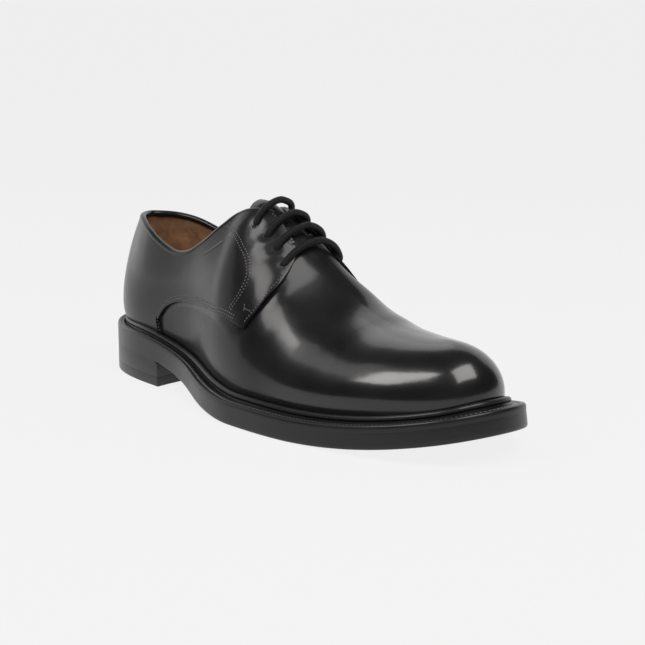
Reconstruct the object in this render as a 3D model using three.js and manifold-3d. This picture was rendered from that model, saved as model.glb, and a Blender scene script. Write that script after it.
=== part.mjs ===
// A plain-toe derby shoe for the right foot, standing empty on its heel and its tread.
// Millimetres, with X towards the toe, Y towards the inner side of the foot and Z up.
import * as THREE from "three";
import { mergeVertices } from "three/addons/utils/BufferGeometryUtils.js";
import Module from "manifold-3d";

const wasm = await Module();
wasm.setup();

// Sizes of the bottom
const SOLE_LENGTH = 305;
const BALL_WIDTH = 100;
const HEEL_WIDTH = 68.5;
const HEEL_HEIGHT = 15.7;
const TOP_PIECE_THICKNESS = 5.2;
const OUTSOLE_THICKNESS = 7.9;
const WELT_THICKNESS = 3.5;
const TOE_SPRING = 14.1;
const WELT_WIDTH_HEEL = 4.4;
const WELT_WIDTH_BALL = 7.4;
const WELT_WIDTH_TOE = 7;
const BEAD_WIDTH = 3;
const BEAD_HEIGHT = 2.8;
const INSOLE_THICKNESS = 3;

// Sizes of the upper, with heights over the top of the welt
const BACK_HEIGHT = 62;
const INSTEP_HEIGHT = 91;
const TOE_HEIGHT = 38;
const WALL = 1.6;
const QUARTER_THICKNESS = 1.1;
const BINDING_RADIUS = 1.8;
const TONGUE_THICKNESS = 2;
const TONGUE_WIDTH = 34;
const LACE_DIAMETER = 3;
const EYELET_DIAMETER = 3.4;
const CLEARANCE = 0.3;

// How finely the surfaces are divided
const TURNS = 72;
const LEVELS = 13;
const STEPS_PER_ROW = 3;
const BINDING_STEPS = 56;
const BINDING_SIDES = 6;
const BAR_STEPS = 10;
const BAR_SIDES = 8;
const BREAST_STEPS = 8;
const EYELET_SIDES = 12;
const NUDGE = 0.003;
const PRECISION = 1e-5;

// Outline of the sole from the back of the heel to the toe. Along is a share of the sole's length, half the
// share of the local width on each side of the middle line, and middle that line's place, a share of the
// ball width towards the inner side.
const OUTLINE = [
  { along: 0, half: 0, middle: 0 },
  { along: 0.02, half: 0.193, middle: 0 },
  { along: 0.06, half: 0.344, middle: 0 },
  { along: 0.14, half: 0.476, middle: 0.004 },
  { along: 0.24, half: 0.5, middle: -0.006 },
  { along: 0.35, half: 0.444, middle: -0.042 },
  { along: 0.46, half: 0.428, middle: -0.092 },
  { along: 0.56, half: 0.461, middle: -0.071 },
  { along: 0.66, half: 0.4975, middle: -0.018 },
  { along: 0.75, half: 0.485, middle: 0.02 },
  { along: 0.84, half: 0.429, middle: 0.041 },
  { along: 0.92, half: 0.34, middle: 0.058 },
  { along: 0.97, half: 0.232, middle: 0.058 },
  { along: 1, half: 0, middle: 0.058 },
];
const WAIST_STARTS = 0.24;
const BALL_STARTS = 0.56;

// Underside of the sole, shares of its length: the seat is level up to the shank, the tread is flat, and
// the toe springs from its end.
const SHANK_STARTS = 0.153;
const TREAD_STARTS = 0.55;
const TREAD_ENDS = 0.68;
const BREAST = 0.255;

// Sections of the last, a row for each share of the outline. Spine is where the section's top lies, a share
// of the length, rise its height, from 0 at the toe height to 1 at the instep height, and aside its place
// across. Full is the roundness of the curve, and swell how far the wall stands out of it, at the share
// peak of its way up. Aside and swell are shares of the ball width.
const SECTIONS = [
  { at: 0, spine: 0.19, rise: 1.05, aside: 0, full: 1.9, swell: 0.048, peak: 0.14 },
  { at: 0.12, spine: 0.208, rise: 1.06, aside: 0, full: 1.9, swell: 0.045, peak: 0.14 },
  { at: 0.24, spine: 0.262, rise: 1.09, aside: 0.01, full: 1.95, swell: 0.03, peak: 0.2 },
  { at: 0.36, spine: 0.361, rise: 1.09, aside: -0.01, full: 1.98, swell: 0.032, peak: 0.25 },
  { at: 0.43, spine: 0.43, rise: 1.05, aside: -0.045, full: 1.88, swell: 0.034, peak: 0.25 },
  { at: 0.47, spine: 0.469, rise: 1.07, aside: -0.06, full: 1.84, swell: 0.036, peak: 0.25 },
  { at: 0.54, spine: 0.539, rise: 0.85, aside: -0.015, full: 1.85, swell: 0.036, peak: 0.25 },
  { at: 0.6, spine: 0.597, rise: 0.485, aside: 0.048, full: 1.94, swell: 0.038, peak: 0.25 },
  { at: 0.66, spine: 0.652, rise: 0.234, aside: 0.065, full: 2.06, swell: 0.04, peak: 0.25 },
  { at: 0.74, spine: 0.721, rise: 0.078, aside: 0.065, full: 2.15, swell: 0.04, peak: 0.25 },
  { at: 0.82, spine: 0.784, rise: 0.005, aside: 0.072, full: 2.25, swell: 0.035, peak: 0.25 },
  { at: 0.92, spine: 0.84, rise: -0.045, aside: 0.078, full: 2.3, swell: 0.012, peak: 0.25 },
  { at: 1, spine: 0.865, rise: -0.06, aside: 0.08, full: 2.35, swell: 0.004, peak: 0.25 },
];

// Topline seen from the side. Rise runs from 0 at the back height to 1 at the instep height. Across the
// shoe it slopes down to the inner side.
const TOPLINE = [
  { along: -0.04, rise: 0 },
  { along: 0.06, rise: 0 },
  { along: 0.12, rise: -0.03 },
  { along: 0.18, rise: -0.16 },
  { along: 0.23, rise: -0.32 },
  { along: 0.285, rise: -0.37 },
  { along: 0.33, rise: -0.24 },
  { along: 0.37, rise: 0.04 },
  { along: 0.4, rise: 0.34 },
  { along: 0.425, rise: 0.6 },
  { along: 0.445, rise: 0.83 },
  { along: 0.465, rise: 0.98 },
  { along: 0.48, rise: 1.04 },
];
const FACING_TOP = 0.475;
const TOPLINE_SLOPE = 0.04;

// Front edges of the two quarters in plan, from the topline down to their lower corners. Outer and inner are
// the places across of each side's edge, shares of the ball width. The first rows also bound the throat.
const FACING_EDGE = [
  { along: 0.43, outer: -0.095, inner: 0.02 },
  { along: 0.465, outer: -0.088, inner: 0.036 },
  { along: 0.5, outer: -0.076, inner: 0.05 },
  { along: 0.52, outer: -0.073, inner: 0.072 },
  { along: 0.538, outer: -0.075, inner: 0.098 },
  { along: 0.554, outer: -0.078, inner: 0.13 },
  { along: 0.567, outer: -0.11, inner: 0.185 },
  { along: 0.5745, outer: -0.22, inner: 0.28 },
  { along: 0.566, outer: -0.336, inner: 0.39 },
  { along: 0.549, outer: -0.405, inner: 0.46 },
  { along: 0.52, outer: -0.56, inner: 0.62 },
];
const THROAT_ROWS = 5;
const THROAT_ROUND = 4;

// The tongue in plan, from its top forwards. Middle is its middle line's place, a share of the ball width,
// and away half its width, a share of the tongue's width.
const TONGUE_EDGE = [
  { along: 0.442, middle: 0.0, away: 0.3 },
  { along: 0.448, middle: 0.0, away: 0.44 },
  { along: 0.465, middle: 0.0, away: 0.5 },
  { along: 0.52, middle: 0.01, away: 0.5 },
  { along: 0.59, middle: 0.04, away: 0.42 },
];

// Lower edge of a quarter from the side, where it leaves the vamp bare below it. Height is a share of the
// instep height.
const QUARTER_FOOT = [
  { along: 0.235, height: 0 },
  { along: 0.232, height: 0.088 },
  { along: 0.241, height: 0.152 },
  { along: 0.265, height: 0.23 },
  { along: 0.304, height: 0.298 },
  { along: 0.358, height: 0.353 },
  { along: 0.425, height: 0.4 },
  { along: 0.497, height: 0.419 },
  { along: 0.548, height: 0.39 },
  { along: 0.6, height: 0.35 },
];

// Places of the eyelets along the facings, shares of the sole's length
const EYELETS = [0.49, 0.518, 0.541, 0.562];
const EYELET_INSET = 11;

// The welt's section, from the rim's lower corner round to the upper. Across runs over the welt's width to 1
// and over the bead's to 2, rise is a share of the bead's height and drop one of the welt's thickness.
const WELT_SECTION = [
  { across: 0, rise: 0, drop: 1 },
  { across: 0, rise: 0, drop: 0.25 },
  { across: 0.1, rise: 0, drop: 0 },
  { across: 0.55, rise: 0, drop: 0 },
  { across: 0.75, rise: 0, drop: 0.25 },
  { across: 1, rise: 0, drop: 0.15 },
  { across: 1.15, rise: 0.7, drop: 0 },
  { across: 1.5, rise: 1, drop: 0 },
  { across: 1.9, rise: 0.8, drop: 0 },
  { across: 2.6, rise: 0.7, drop: 0 },
  { across: 2.6, rise: 0, drop: 1 },
];
const BREAST_HOLLOW = 4.5;
const HEEL_INSET = 0.3;
const HEEL_MARGIN = 0.03;
const HEEL_TURNS = 20;
const BINDING_REACH = 1.49;
const BINDING_DROP = 0.5;
const BAR_LIFT = 0.15;
const EYELET_DEPTH = 10;

// Limits of the cutting shapes, which only have to pass the shoe
const REACH = 400;
const BELOW = 20;
const WELD = 1e-3;

const lerp = THREE.MathUtils.lerp;
const smoothstep = THREE.MathUtils.smoothstep;

// A smooth curve through one column of a table, at places given by another column.
function curveThrough(rows, from, to, place = (value) => value) {
  const xs = rows.map((row) => place(row[from]));
  const ys = rows.map((row) => row[to]);
  const last = xs.length - 1;
  const slope = (i) => (ys[i + 1] - ys[i]) / (xs[i + 1] - xs[i]);
  const tangents = xs.map((x, i) => {
    if (i === 0) return slope(0);
    if (i === last) return slope(last - 1);
    return lerp(slope(i - 1), slope(i), (x - xs[i - 1]) / (xs[i + 1] - xs[i - 1]));
  });
  return (value) => {
    const x = THREE.MathUtils.clamp(place(value), xs[0], xs[last]);
    const i = Math.min(xs.findLastIndex((left) => left <= x), last - 1);
    const h = xs[i + 1] - xs[i];
    const t = (x - xs[i]) / h;
    const ends = lerp(ys[i], ys[i + 1], t * t * (3 - 2 * t));
    return ends + h * t * (1 - t) * (tangents[i] * (1 - t) - tangents[i + 1] * t);
  };
}

// A turn runs round the outline, from 0 at the back of the heel over the outer side to half a circle at the
// toe, and back over the inner side.
const shareOf = (turn) => (1 - Math.cos(turn)) / 2;
const turnOf = (share) => Math.acos(1 - 2 * share);
const isInner = (turn) => turn > Math.PI;

const outlineHalf = curveThrough(OUTLINE, "along", "half", turnOf);
const outlineMiddle = curveThrough(OUTLINE, "along", "middle");

function outline(turn) {
  const share = shareOf(turn);
  const width = lerp(HEEL_WIDTH, BALL_WIDTH, smoothstep(share, WAIST_STARTS, BALL_STARTS));
  const away = outlineHalf(share) * width;
  const middle = outlineMiddle(share) * BALL_WIDTH;
  return new THREE.Vector2(share * SOLE_LENGTH, isInner(turn) ? middle + away : middle - away);
}

// The outline moved inwards, square to itself.
function outlineInside(turn, inward) {
  const ahead = outline((turn + NUDGE) % (2 * Math.PI));
  const behind = outline((turn - NUDGE + 2 * Math.PI) % (2 * Math.PI));
  const along = ahead.sub(behind).normalize();
  return outline(turn).add(new THREE.Vector2(-along.y, along.x).multiplyScalar(inward));
}

// Height of the sole's underside over the floor
function underside(share) {
  const seat = HEEL_HEIGHT * (1 - smoothstep(share, SHANK_STARTS, TREAD_STARTS));
  const spring = Math.max(0, (share - TREAD_ENDS) / (1 - TREAD_ENDS));
  return seat + TOE_SPRING * spring * spring;
}
const OUTSOLE_TOP = OUTSOLE_THICKNESS + CLEARANCE;
const WELT_TOP = OUTSOLE_TOP + WELT_THICKNESS;
const weltTop = (share) => underside(share) + WELT_TOP;

// What the quarter adds to the wall where it meets the welt
const [QUARTER_THINS, QUARTER_ENDS] = [QUARTER_FOOT[2].along, QUARTER_FOOT[3].along];
const quarterAtWelt = (share) => QUARTER_THICKNESS * (1 - smoothstep(share, QUARTER_THINS, QUARTER_ENDS));
function weltWidth(share) {
  const ball = lerp(WELT_WIDTH_HEEL, WELT_WIDTH_BALL, smoothstep(share, WAIST_STARTS, BALL_STARTS));
  return lerp(ball, WELT_WIDTH_TOE, smoothstep(share, TREAD_ENDS, 1));
}
const wallAtWelt = (share) => WALL + quarterAtWelt(share);
const featherInset = (share) => weltWidth(share) + BEAD_WIDTH + CLEARANCE + wallAtWelt(share);

const SECTION_COLUMNS = ["spine", "rise", "aside", "full", "swell", "peak"];
const sectionValue = Object.fromEntries(
  SECTION_COLUMNS.map((name) => [name, curveThrough(SECTIONS, "at", name)]),
);

function spinePoint(share) {
  const along = sectionValue.spine(share);
  const height = lerp(TOE_HEIGHT, INSTEP_HEIGHT, sectionValue.rise(share)) - WALL;
  const aside = sectionValue.aside(share) * BALL_WIDTH;
  return new THREE.Vector3(along * SOLE_LENGTH, aside, weltTop(along) + height);
}

// The last's surface, at a turn and a level from 0 at the welt to 1 on the spine.
function lastSurface(turn, level) {
  const share = shareOf(turn);
  const foot = outlineInside(turn, featherInset(share));
  const spine = spinePoint(share);
  const angle = (Math.min(level, 1) * Math.PI) / 2;
  const power = 2 / sectionValue.full(share);
  const inward = 1 - Math.max(Math.cos(angle), 0) ** power;
  const upward = Math.sin(angle) ** power;
  const bend = Math.log(0.5) / Math.log(sectionValue.peak(share));
  const swell = sectionValue.swell(share) * BALL_WIDTH * Math.sin(Math.PI * level ** bend) ** 2;
  const out = foot.clone().sub(outlineInside(turn, featherInset(share) + 1));
  return new THREE.Vector3(
    lerp(foot.x, spine.x, inward) + out.x * swell,
    lerp(foot.y, spine.y, inward) + out.y * swell,
    lerp(weltTop(share), spine.z, upward),
  );
}

function lastNormal(turn, level) {
  const low = Math.min(level, 1 - NUDGE);
  const across = lastSurface(turn, low + NUDGE).sub(lastSurface(turn, low));
  const round = lastSurface((turn + NUDGE) % (2 * Math.PI), low).sub(lastSurface(turn, low));
  const normal = round.cross(across).normalize();
  if (level === 0) normal.setZ(0).normalize();
  return normal;
}

// The surface moved outwards. On the spine the two sides share one point.
function offsetSurface(turn, level, out) {
  const normal = lastNormal(turn, level);
  if (level === 1) normal.add(lastNormal(2 * Math.PI - turn, level)).normalize();
  return lastSurface(turn, level).addScaledVector(normal, out);
}

const evenly = (count, from, to) => Array.from({ length: count + 1 }, (_, i) => lerp(from, to, i / count));
const turns = evenly(TURNS, 0, 2 * Math.PI).slice(0, -1);
const levels = evenly(LEVELS, 0, 1);

// A solid from loose faces, three points each, with their shared corners merged.
function solidFrom(points) {
  const welded = mergeVertices(new THREE.BufferGeometry().setFromPoints(points), WELD);
  const corners = [];
  for (let i = 0; i < welded.index.count; i += 3) {
    const [a, b, c] = welded.index.array.slice(i, i + 3);
    if (a !== b && b !== c && c !== a) corners.push(a, b, c);
  }
  return manifoldOf(welded.attributes.position.array, corners);
}

function manifoldOf(vertProperties, corners) {
  const mesh = new wasm.Mesh({ numProp: 3, vertProperties, triVerts: new Uint32Array(corners) });
  return new wasm.Manifold(mesh);
}

// A solid from one of the library's closed geometries
function solidOf(geometry) {
  const bare = geometry.index ? geometry.toNonIndexed() : geometry;
  const { array } = bare.attributes.position;
  const count = array.length / 3;
  return solidFrom(Array.from({ length: count }, (_, i) => new THREE.Vector3().fromArray(array, 3 * i)));
}

// The walls between rings of points, each ring above the one before it.
function skin(rings) {
  return rings.slice(1).flatMap((upper, j) =>
    upper.flatMap((_, i) => {
      const next = (i + 1) % upper.length;
      const lower = rings[j];
      return [lower[i], lower[next], upper[next], lower[i], upper[next], upper[i]];
    }),
  );
}

// A cap of strips, each from two points of a ring to the two across from them.
function cap(ring, faceUp) {
  const count = ring.length;
  return ring.slice(0, Math.ceil(count / 2)).flatMap((a, i) => {
    const [b, c, d] = [i + 1, count - i - 1, count - i].map((place) => ring[place % count]);
    return faceUp ? [a, b, c, a, c, d] : [a, c, b, a, d, c];
  });
}

const loft = (rings) => solidFrom([...cap(rings[0], false), ...skin(rings), ...cap(rings.at(-1), true)]);

// A level plate between two heights given for each share of the length.
function plate(ringTurns, inset, bottom, top) {
  const ring = (height) =>
    ringTurns.map((turn) => {
      const { x, y } = outlineInside(turn, inset(shareOf(turn)));
      return new THREE.Vector3(x, y, height(shareOf(turn)));
    });
  return loft([ring(bottom), ring(top)]);
}

// The last made thicker by out all over, standing on the outsole, or reaching below it where deeper is set.
function lastSolid(out, deeper = 0) {
  const foot = turns.map((turn) => {
    const { x, y } = offsetSurface(turn, 0, out(shareOf(turn)));
    return new THREE.Vector3(x, y, underside(shareOf(turn)) + OUTSOLE_TOP - deeper);
  });
  const rings = levels.map((level) => turns.map((turn) => offsetSurface(turn, level, out(shareOf(turn)))));
  return solidFrom([...cap(foot, false), ...skin([foot, ...rings])]);
}

// A shell over the last, from one distance to another.
const shell = (from, to) => lastSolid(() => to).subtract(lastSolid(() => from, BELOW));

// A prism through the whole shoe from an outline seen from above.
function prismFromAbove(points) {
  const geometry = new THREE.ExtrudeGeometry(new THREE.Shape(points), { depth: REACH, bevelEnabled: false });
  return solidOf(geometry.translate(0, 0, -REACH / 2));
}

// A prism through the whole shoe from an outline seen from the outer side, sloping down to the inner side.
function prismFromSide(points, slope = 0) {
  const geometry = new THREE.ExtrudeGeometry(new THREE.Shape(points), { depth: REACH, bevelEnabled: false });
  const sloped = new THREE.Matrix4().makeShear(0, 0, 0, -slope, 0, 0);
  return solidOf(geometry.rotateX(Math.PI / 2).translate(0, REACH / 2, 0).applyMatrix4(sloped));
}

const toplineRise = curveThrough(TOPLINE, "along", "rise");
const toplineHeight = (along) => weltTop(along) + lerp(BACK_HEIGHT, INSTEP_HEIGHT, toplineRise(along));
const isUnderTopline = ({ x, y, z }) => z < toplineHeight(x / SOLE_LENGTH) - TOPLINE_SLOPE * y;

function collarCutter() {
  const edge = evenly(TOPLINE.length * STEPS_PER_ROW, TOPLINE[0].along, FACING_TOP).map(
    (along) => new THREE.Vector2(along * SOLE_LENGTH, toplineHeight(along)),
  );
  const [first, last] = [edge[0], edge.at(-1)];
  const corners = [new THREE.Vector2(last.x, REACH), new THREE.Vector2(first.x, REACH)];
  return prismFromSide([...edge, ...corners], TOPLINE_SLOPE);
}

// A smooth line through points
const smoothLine = (points) => new THREE.SplineCurve(points).getPoints((points.length - 1) * STEPS_PER_ROW);

// A facing's edge in plan, from the topline forwards
const facingEdge = (rows, side) =>
  smoothLine(rows.map((row) => new THREE.Vector2(row.along * SOLE_LENGTH, row[side] * BALL_WIDTH)));

function throatCutter() {
  const rows = FACING_EDGE.slice(0, THROAT_ROWS);
  const [outer, inner] = ["outer", "inner"].map((side) => facingEdge(rows, side));
  const end = outer.at(-1).clone().lerp(inner.at(-1), 0.5);
  return prismFromAbove([...outer, end.setX(end.x + THROAT_ROUND), ...inner.reverse()]);
}

function quarterRegion() {
  const [outer, inner] = ["outer", "inner"].map((side) => facingEdge(FACING_EDGE, side));
  const behind = [1, -1].map((side) => new THREE.Vector2(-BELOW, side * BALL_WIDTH));
  const plan = prismFromAbove([...outer.reverse(), ...inner, ...behind]);
  const foot = smoothLine(
    QUARTER_FOOT.map(({ along, height }) =>
      new THREE.Vector2(along * SOLE_LENGTH, weltTop(along) + height * INSTEP_HEIGHT),
    ),
  );
  const corners = [
    new THREE.Vector2(foot.at(-1).x, REACH),
    new THREE.Vector2(-BELOW, REACH),
    new THREE.Vector2(-BELOW, -BELOW),
    new THREE.Vector2(foot[0].x, -BELOW),
  ];
  return plan.intersect(prismFromSide([...foot, ...corners]));
}

// Points of the topline in the middle of the wall, from the outer facing round the heel to the inner facing.
function toplinePoints() {
  const middle = (WALL + QUARTER_THICKNESS) / 2;
  return evenly(BINDING_STEPS, BINDING_REACH, -BINDING_REACH).map((turn) => {
    const round = (turn + 2 * Math.PI) % (2 * Math.PI);
    let [low, high] = [0, 1];
    while (high - low > PRECISION) {
      const level = (low + high) / 2;
      if (isUnderTopline(offsetSurface(round, level, middle))) low = level;
      else high = level;
    }
    return offsetSurface(round, low, middle).sub(new THREE.Vector3(0, 0, BINDING_DROP));
  });
}

// A round tube along a curve through points. The library makes twice as many sides as it has segments.
function tube(points, radius, sides, steps) {
  const round = new THREE.Shape().absarc(0, 0, radius, 0, 2 * Math.PI);
  const extrudePath = new THREE.CatmullRomCurve3(points);
  return solidOf(new THREE.ExtrudeGeometry(round, { steps, curveSegments: sides / 2, extrudePath }));
}

// The collar's binding, a rolled edge over the topline, or the room that it takes with a margin round it.
const binding = (margin = 0) =>
  tube(toplinePoints(), BINDING_RADIUS + margin, BINDING_SIDES, BINDING_STEPS);

// The level at which a section passes a place across the throat, seen from above
function levelAt(turn, across) {
  let [low, high] = [0, 1];
  while (high - low > PRECISION) {
    const level = (low + high) / 2;
    const before = lastSurface(turn, level).y < across;
    if (before === isInner(turn)) high = level;
    else low = level;
  }
  return low;
}

// The turn whose section has its top at a share of the length
function turnAtSpine(along) {
  let [low, high] = [0, 1];
  while (high - low > PRECISION) {
    const share = (low + high) / 2;
    if (sectionValue.spine(share) < along) low = share;
    else high = share;
  }
  return turnOf(low);
}

// An eyelet's turn and level on the last
function eyeletPlace(along, side) {
  const edge = curveThrough(FACING_EDGE.slice(0, THROAT_ROWS + 3), "along", side)(along) * BALL_WIDTH;
  const outerTurn = turnAtSpine(along);
  const turn = side === "inner" ? 2 * Math.PI - outerTurn : outerTurn;
  return [turn, levelAt(turn, side === "inner" ? edge + EYELET_INSET : edge - EYELET_INSET)];
}

function eyeletCutter(along, side) {
  const place = eyeletPlace(along, side);
  const radius = EYELET_DIAMETER / 2;
  const hole = new THREE.CylinderGeometry(radius, radius, EYELET_DEPTH, EYELET_SIDES);
  const turned = new THREE.Quaternion().setFromUnitVectors(new THREE.Vector3(0, 1, 0), lastNormal(...place));
  const { x, y, z } = lastSurface(...place);
  return solidOf(hole.applyQuaternion(turned).translate(x, y, z));
}

function laceBar(along) {
  const over = WALL + QUARTER_THICKNESS + CLEARANCE + LACE_DIAMETER / 2 + BAR_LIFT;
  const [outer, inner] = ["outer", "inner"].map((side) => {
    const [turn, foot] = eyeletPlace(along, side);
    return evenly(BAR_STEPS / 2, foot, 1).map((level) => offsetSurface(turn, level, over));
  });
  return tube([...outer, ...inner.reverse().slice(1)], LACE_DIAMETER / 2, BAR_SIDES, BAR_STEPS);
}

function upper() {
  const whole = shell(0, WALL).add(shell(WALL / 2, WALL + QUARTER_THICKNESS).intersect(quarterRegion()));
  const open = whole.subtract(collarCutter()).subtract(throatCutter()).add(binding());
  return EYELETS.reduce(
    (cut, along) => cut.subtract(eyeletCutter(along, "outer")).subtract(eyeletCutter(along, "inner")),
    open,
  );
}

function tongue() {
  const edge = (side) =>
    TONGUE_EDGE.map(({ along, middle, away }) =>
      new THREE.Vector2(along * SOLE_LENGTH, middle * BALL_WIDTH + side * away * TONGUE_WIDTH),
    );
  const plan = prismFromAbove([...edge(-1), ...edge(1).reverse()]);
  const above = prismFromSide(
    [[0, REACH], [0, INSTEP_HEIGHT / 2], [REACH, INSTEP_HEIGHT / 2], [REACH, REACH]].map(
      (corner) => new THREE.Vector2(...corner),
    ),
  );
  const sheet = shell(-CLEARANCE - TONGUE_THICKNESS, -CLEARANCE);
  return sheet.intersect(plan).intersect(above).subtract(binding(CLEARANCE));
}

// The welt stands outside the upper, with a flat rim, a stitching channel and a raised bead.
function welt() {
  const ring = ([across, up]) => (turn) => {
    const share = shareOf(turn);
    const width = weltWidth(share);
    const inward = Math.min(across, 1) * width + Math.max(across - 1, 0) * BEAD_WIDTH;
    const { x, y } = outlineInside(turn, inward);
    return new THREE.Vector3(x, y, weltTop(share) + up);
  };
  const rings = WELT_SECTION.map(({ across, rise, drop }) =>
    turns.map(ring([across, rise * BEAD_HEIGHT - drop * WELT_THICKNESS])),
  );
  const room = lastSolid((share) => wallAtWelt(share) + CLEARANCE, BELOW);
  return solidFrom(skin([...rings, rings[0]])).subtract(room);
}

const outsole = () =>
  plate(turns, () => 0, underside, (share) => underside(share) + OUTSOLE_THICKNESS);

const insole = () =>
  plate(
    turns,
    (share) => featherInset(share) + CLEARANCE,
    (share) => underside(share) + OUTSOLE_TOP,
    (share) => underside(share) + OUTSOLE_TOP + INSOLE_THICKNESS,
  );

// A lift of the heel between two heights, with its hollow breast.
function heelLift(bottom, top) {
  const reach = turnOf(BREAST + HEEL_MARGIN);
  const outer = evenly(HEEL_TURNS, 0, reach);
  const inner = outer.slice(1).reverse().map((turn) => 2 * Math.PI - turn);
  const corners = [1, -1].map((side) => new THREE.Vector2(BREAST * SOLE_LENGTH, side * HEEL_WIDTH));
  const breast = new THREE.Shape();
  breast.moveTo(corners[1].x, corners[1].y);
  breast.lineTo(corners[1].x, -HEEL_WIDTH / 2);
  breast.quadraticCurveTo(corners[0].x - 2 * BREAST_HOLLOW, 0, corners[0].x, HEEL_WIDTH / 2);
  breast.lineTo(corners[0].x, corners[0].y);
  breast.lineTo(REACH, corners[0].y);
  breast.lineTo(REACH, corners[1].y);
  const front = prismFromAbove(breast.getPoints(BREAST_STEPS).reverse());
  return plate([...outer, ...inner], () => HEEL_INSET, bottom, top).subtract(front);
}

const heelBlock = () =>
  heelLift(() => TOP_PIECE_THICKNESS + CLEARANCE, (share) => underside(share) - CLEARANCE);
const topPiece = () => heelLift(() => 0, () => TOP_PIECE_THICKNESS);

function finish(color, roughness) {
  return new THREE.MeshStandardMaterial({ color, roughness, metalness: 0 });
}

function piece(name, solid, material) {
  const { vertProperties, triVerts } = solid.getMesh();
  const geometry = new THREE.BufferGeometry();
  geometry.setAttribute("position", new THREE.BufferAttribute(vertProperties, 3));
  geometry.setIndex(new THREE.BufferAttribute(triVerts, 1));
  const mesh = new THREE.Mesh(geometry, material);
  mesh.name = name;
  return mesh;
}

const POLISHED_LEATHER = finish("#1b1b1d", 0.28);
const EDGE_RUBBER = finish("#202021", 0.55);
const LINING_LEATHER = finish("#6d543f", 0.8);
const WAXED_CORD = finish("#161617", 0.5);

const shoe = new THREE.Group();
shoe.add(piece("upper", upper(), POLISHED_LEATHER));
shoe.add(piece("tongue", tongue(), POLISHED_LEATHER));
shoe.add(piece("insole", insole(), LINING_LEATHER));
shoe.add(piece("welt", welt(), EDGE_RUBBER));
shoe.add(piece("outsole", outsole(), EDGE_RUBBER));
shoe.add(piece("heel_block", heelBlock(), EDGE_RUBBER));
shoe.add(piece("heel_top_piece", topPiece(), EDGE_RUBBER));
EYELETS.forEach((along, i) => shoe.add(piece(`lace_bar_${i + 1}`, laceBar(along), WAXED_CORD)));

// The origin lies on the floor under the middle of the shoe's box.
const box = new THREE.Box3().setFromObject(shoe);
const middle = box.getCenter(new THREE.Vector3());
shoe.position.set(-middle.x, -middle.y, -box.min.z);

export default shoe;
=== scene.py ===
"""A black plain-toe derby for the right foot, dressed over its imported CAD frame.

The upper's sheets, the welt and the sole are worked out as grids of points on the last, because their
double curves can't be had from a primitive. Modifiers then give them thickness and rounded edges.
"""

import logging
import math
from dataclasses import dataclass
from enum import Enum
from functools import lru_cache
from typing import Callable

import bpy
import numpy as np
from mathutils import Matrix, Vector


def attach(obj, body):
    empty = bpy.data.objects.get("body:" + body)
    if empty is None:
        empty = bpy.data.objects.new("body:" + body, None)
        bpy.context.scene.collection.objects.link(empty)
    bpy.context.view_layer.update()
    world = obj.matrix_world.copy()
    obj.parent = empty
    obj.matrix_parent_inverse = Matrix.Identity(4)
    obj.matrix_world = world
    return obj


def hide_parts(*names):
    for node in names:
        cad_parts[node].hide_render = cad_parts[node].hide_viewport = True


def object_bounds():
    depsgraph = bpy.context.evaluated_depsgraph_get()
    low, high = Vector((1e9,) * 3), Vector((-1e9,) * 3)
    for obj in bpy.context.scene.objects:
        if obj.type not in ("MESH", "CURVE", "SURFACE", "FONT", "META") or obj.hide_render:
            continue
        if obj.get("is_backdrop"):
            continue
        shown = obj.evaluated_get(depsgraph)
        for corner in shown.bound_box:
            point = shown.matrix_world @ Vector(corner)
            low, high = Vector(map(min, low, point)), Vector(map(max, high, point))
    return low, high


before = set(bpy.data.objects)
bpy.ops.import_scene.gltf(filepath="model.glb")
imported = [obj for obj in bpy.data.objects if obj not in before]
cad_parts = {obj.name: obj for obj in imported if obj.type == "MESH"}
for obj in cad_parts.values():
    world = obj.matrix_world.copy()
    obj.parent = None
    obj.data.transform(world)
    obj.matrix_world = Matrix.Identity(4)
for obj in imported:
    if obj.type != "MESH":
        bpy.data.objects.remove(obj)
CAD_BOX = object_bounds()

MM = 0.001
LOG = logging.getLogger("derby")
Array = np.ndarray


class Side(Enum):
    """The two sides of a right shoe, seen from above."""

    OUTER = -1
    INNER = 1


class Axes(Enum):
    """The two coordinates by which a line on the last is drawn."""

    PLAN = (0, 1)
    PROFILE = (0, 2)


def smoothstep(value: Array, low: float, high: float) -> Array:
    """Returns the value eased from 0 at low to 1 at high."""
    share = np.clip((value - low) / (high - low), 0.0, 1.0)
    return share * share * (3 - 2 * share)


def mix(first: Array, second: Array, share: Array) -> Array:
    """Returns the value that lies at a share of the way from first to second."""
    return first + (second - first) * share


def unit(vectors: Array) -> Array:
    """Returns the vectors at length 1."""
    return vectors / np.maximum(np.linalg.norm(vectors, axis=-1, keepdims=True), 1e-12)


def lengths_along(points: Array) -> Array:
    """Returns the distance of each point of a line from the line's start."""
    steps = np.linalg.norm(np.diff(points, axis=0), axis=-1)
    return np.concatenate([[0.0], np.cumsum(steps)])


def resample(points: Array, shares: Array) -> Array:
    """Takes points at shares of a line's length.

    Args:
        points: The line, one row a point.
        shares: Places along it, from 0 to 1.

    Returns:
        The points at those places.
    """
    run = lengths_along(points)
    columns = [np.interp(shares * run[-1], run, points[:, i]) for i in range(points.shape[1])]
    return np.stack(columns, -1)


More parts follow.
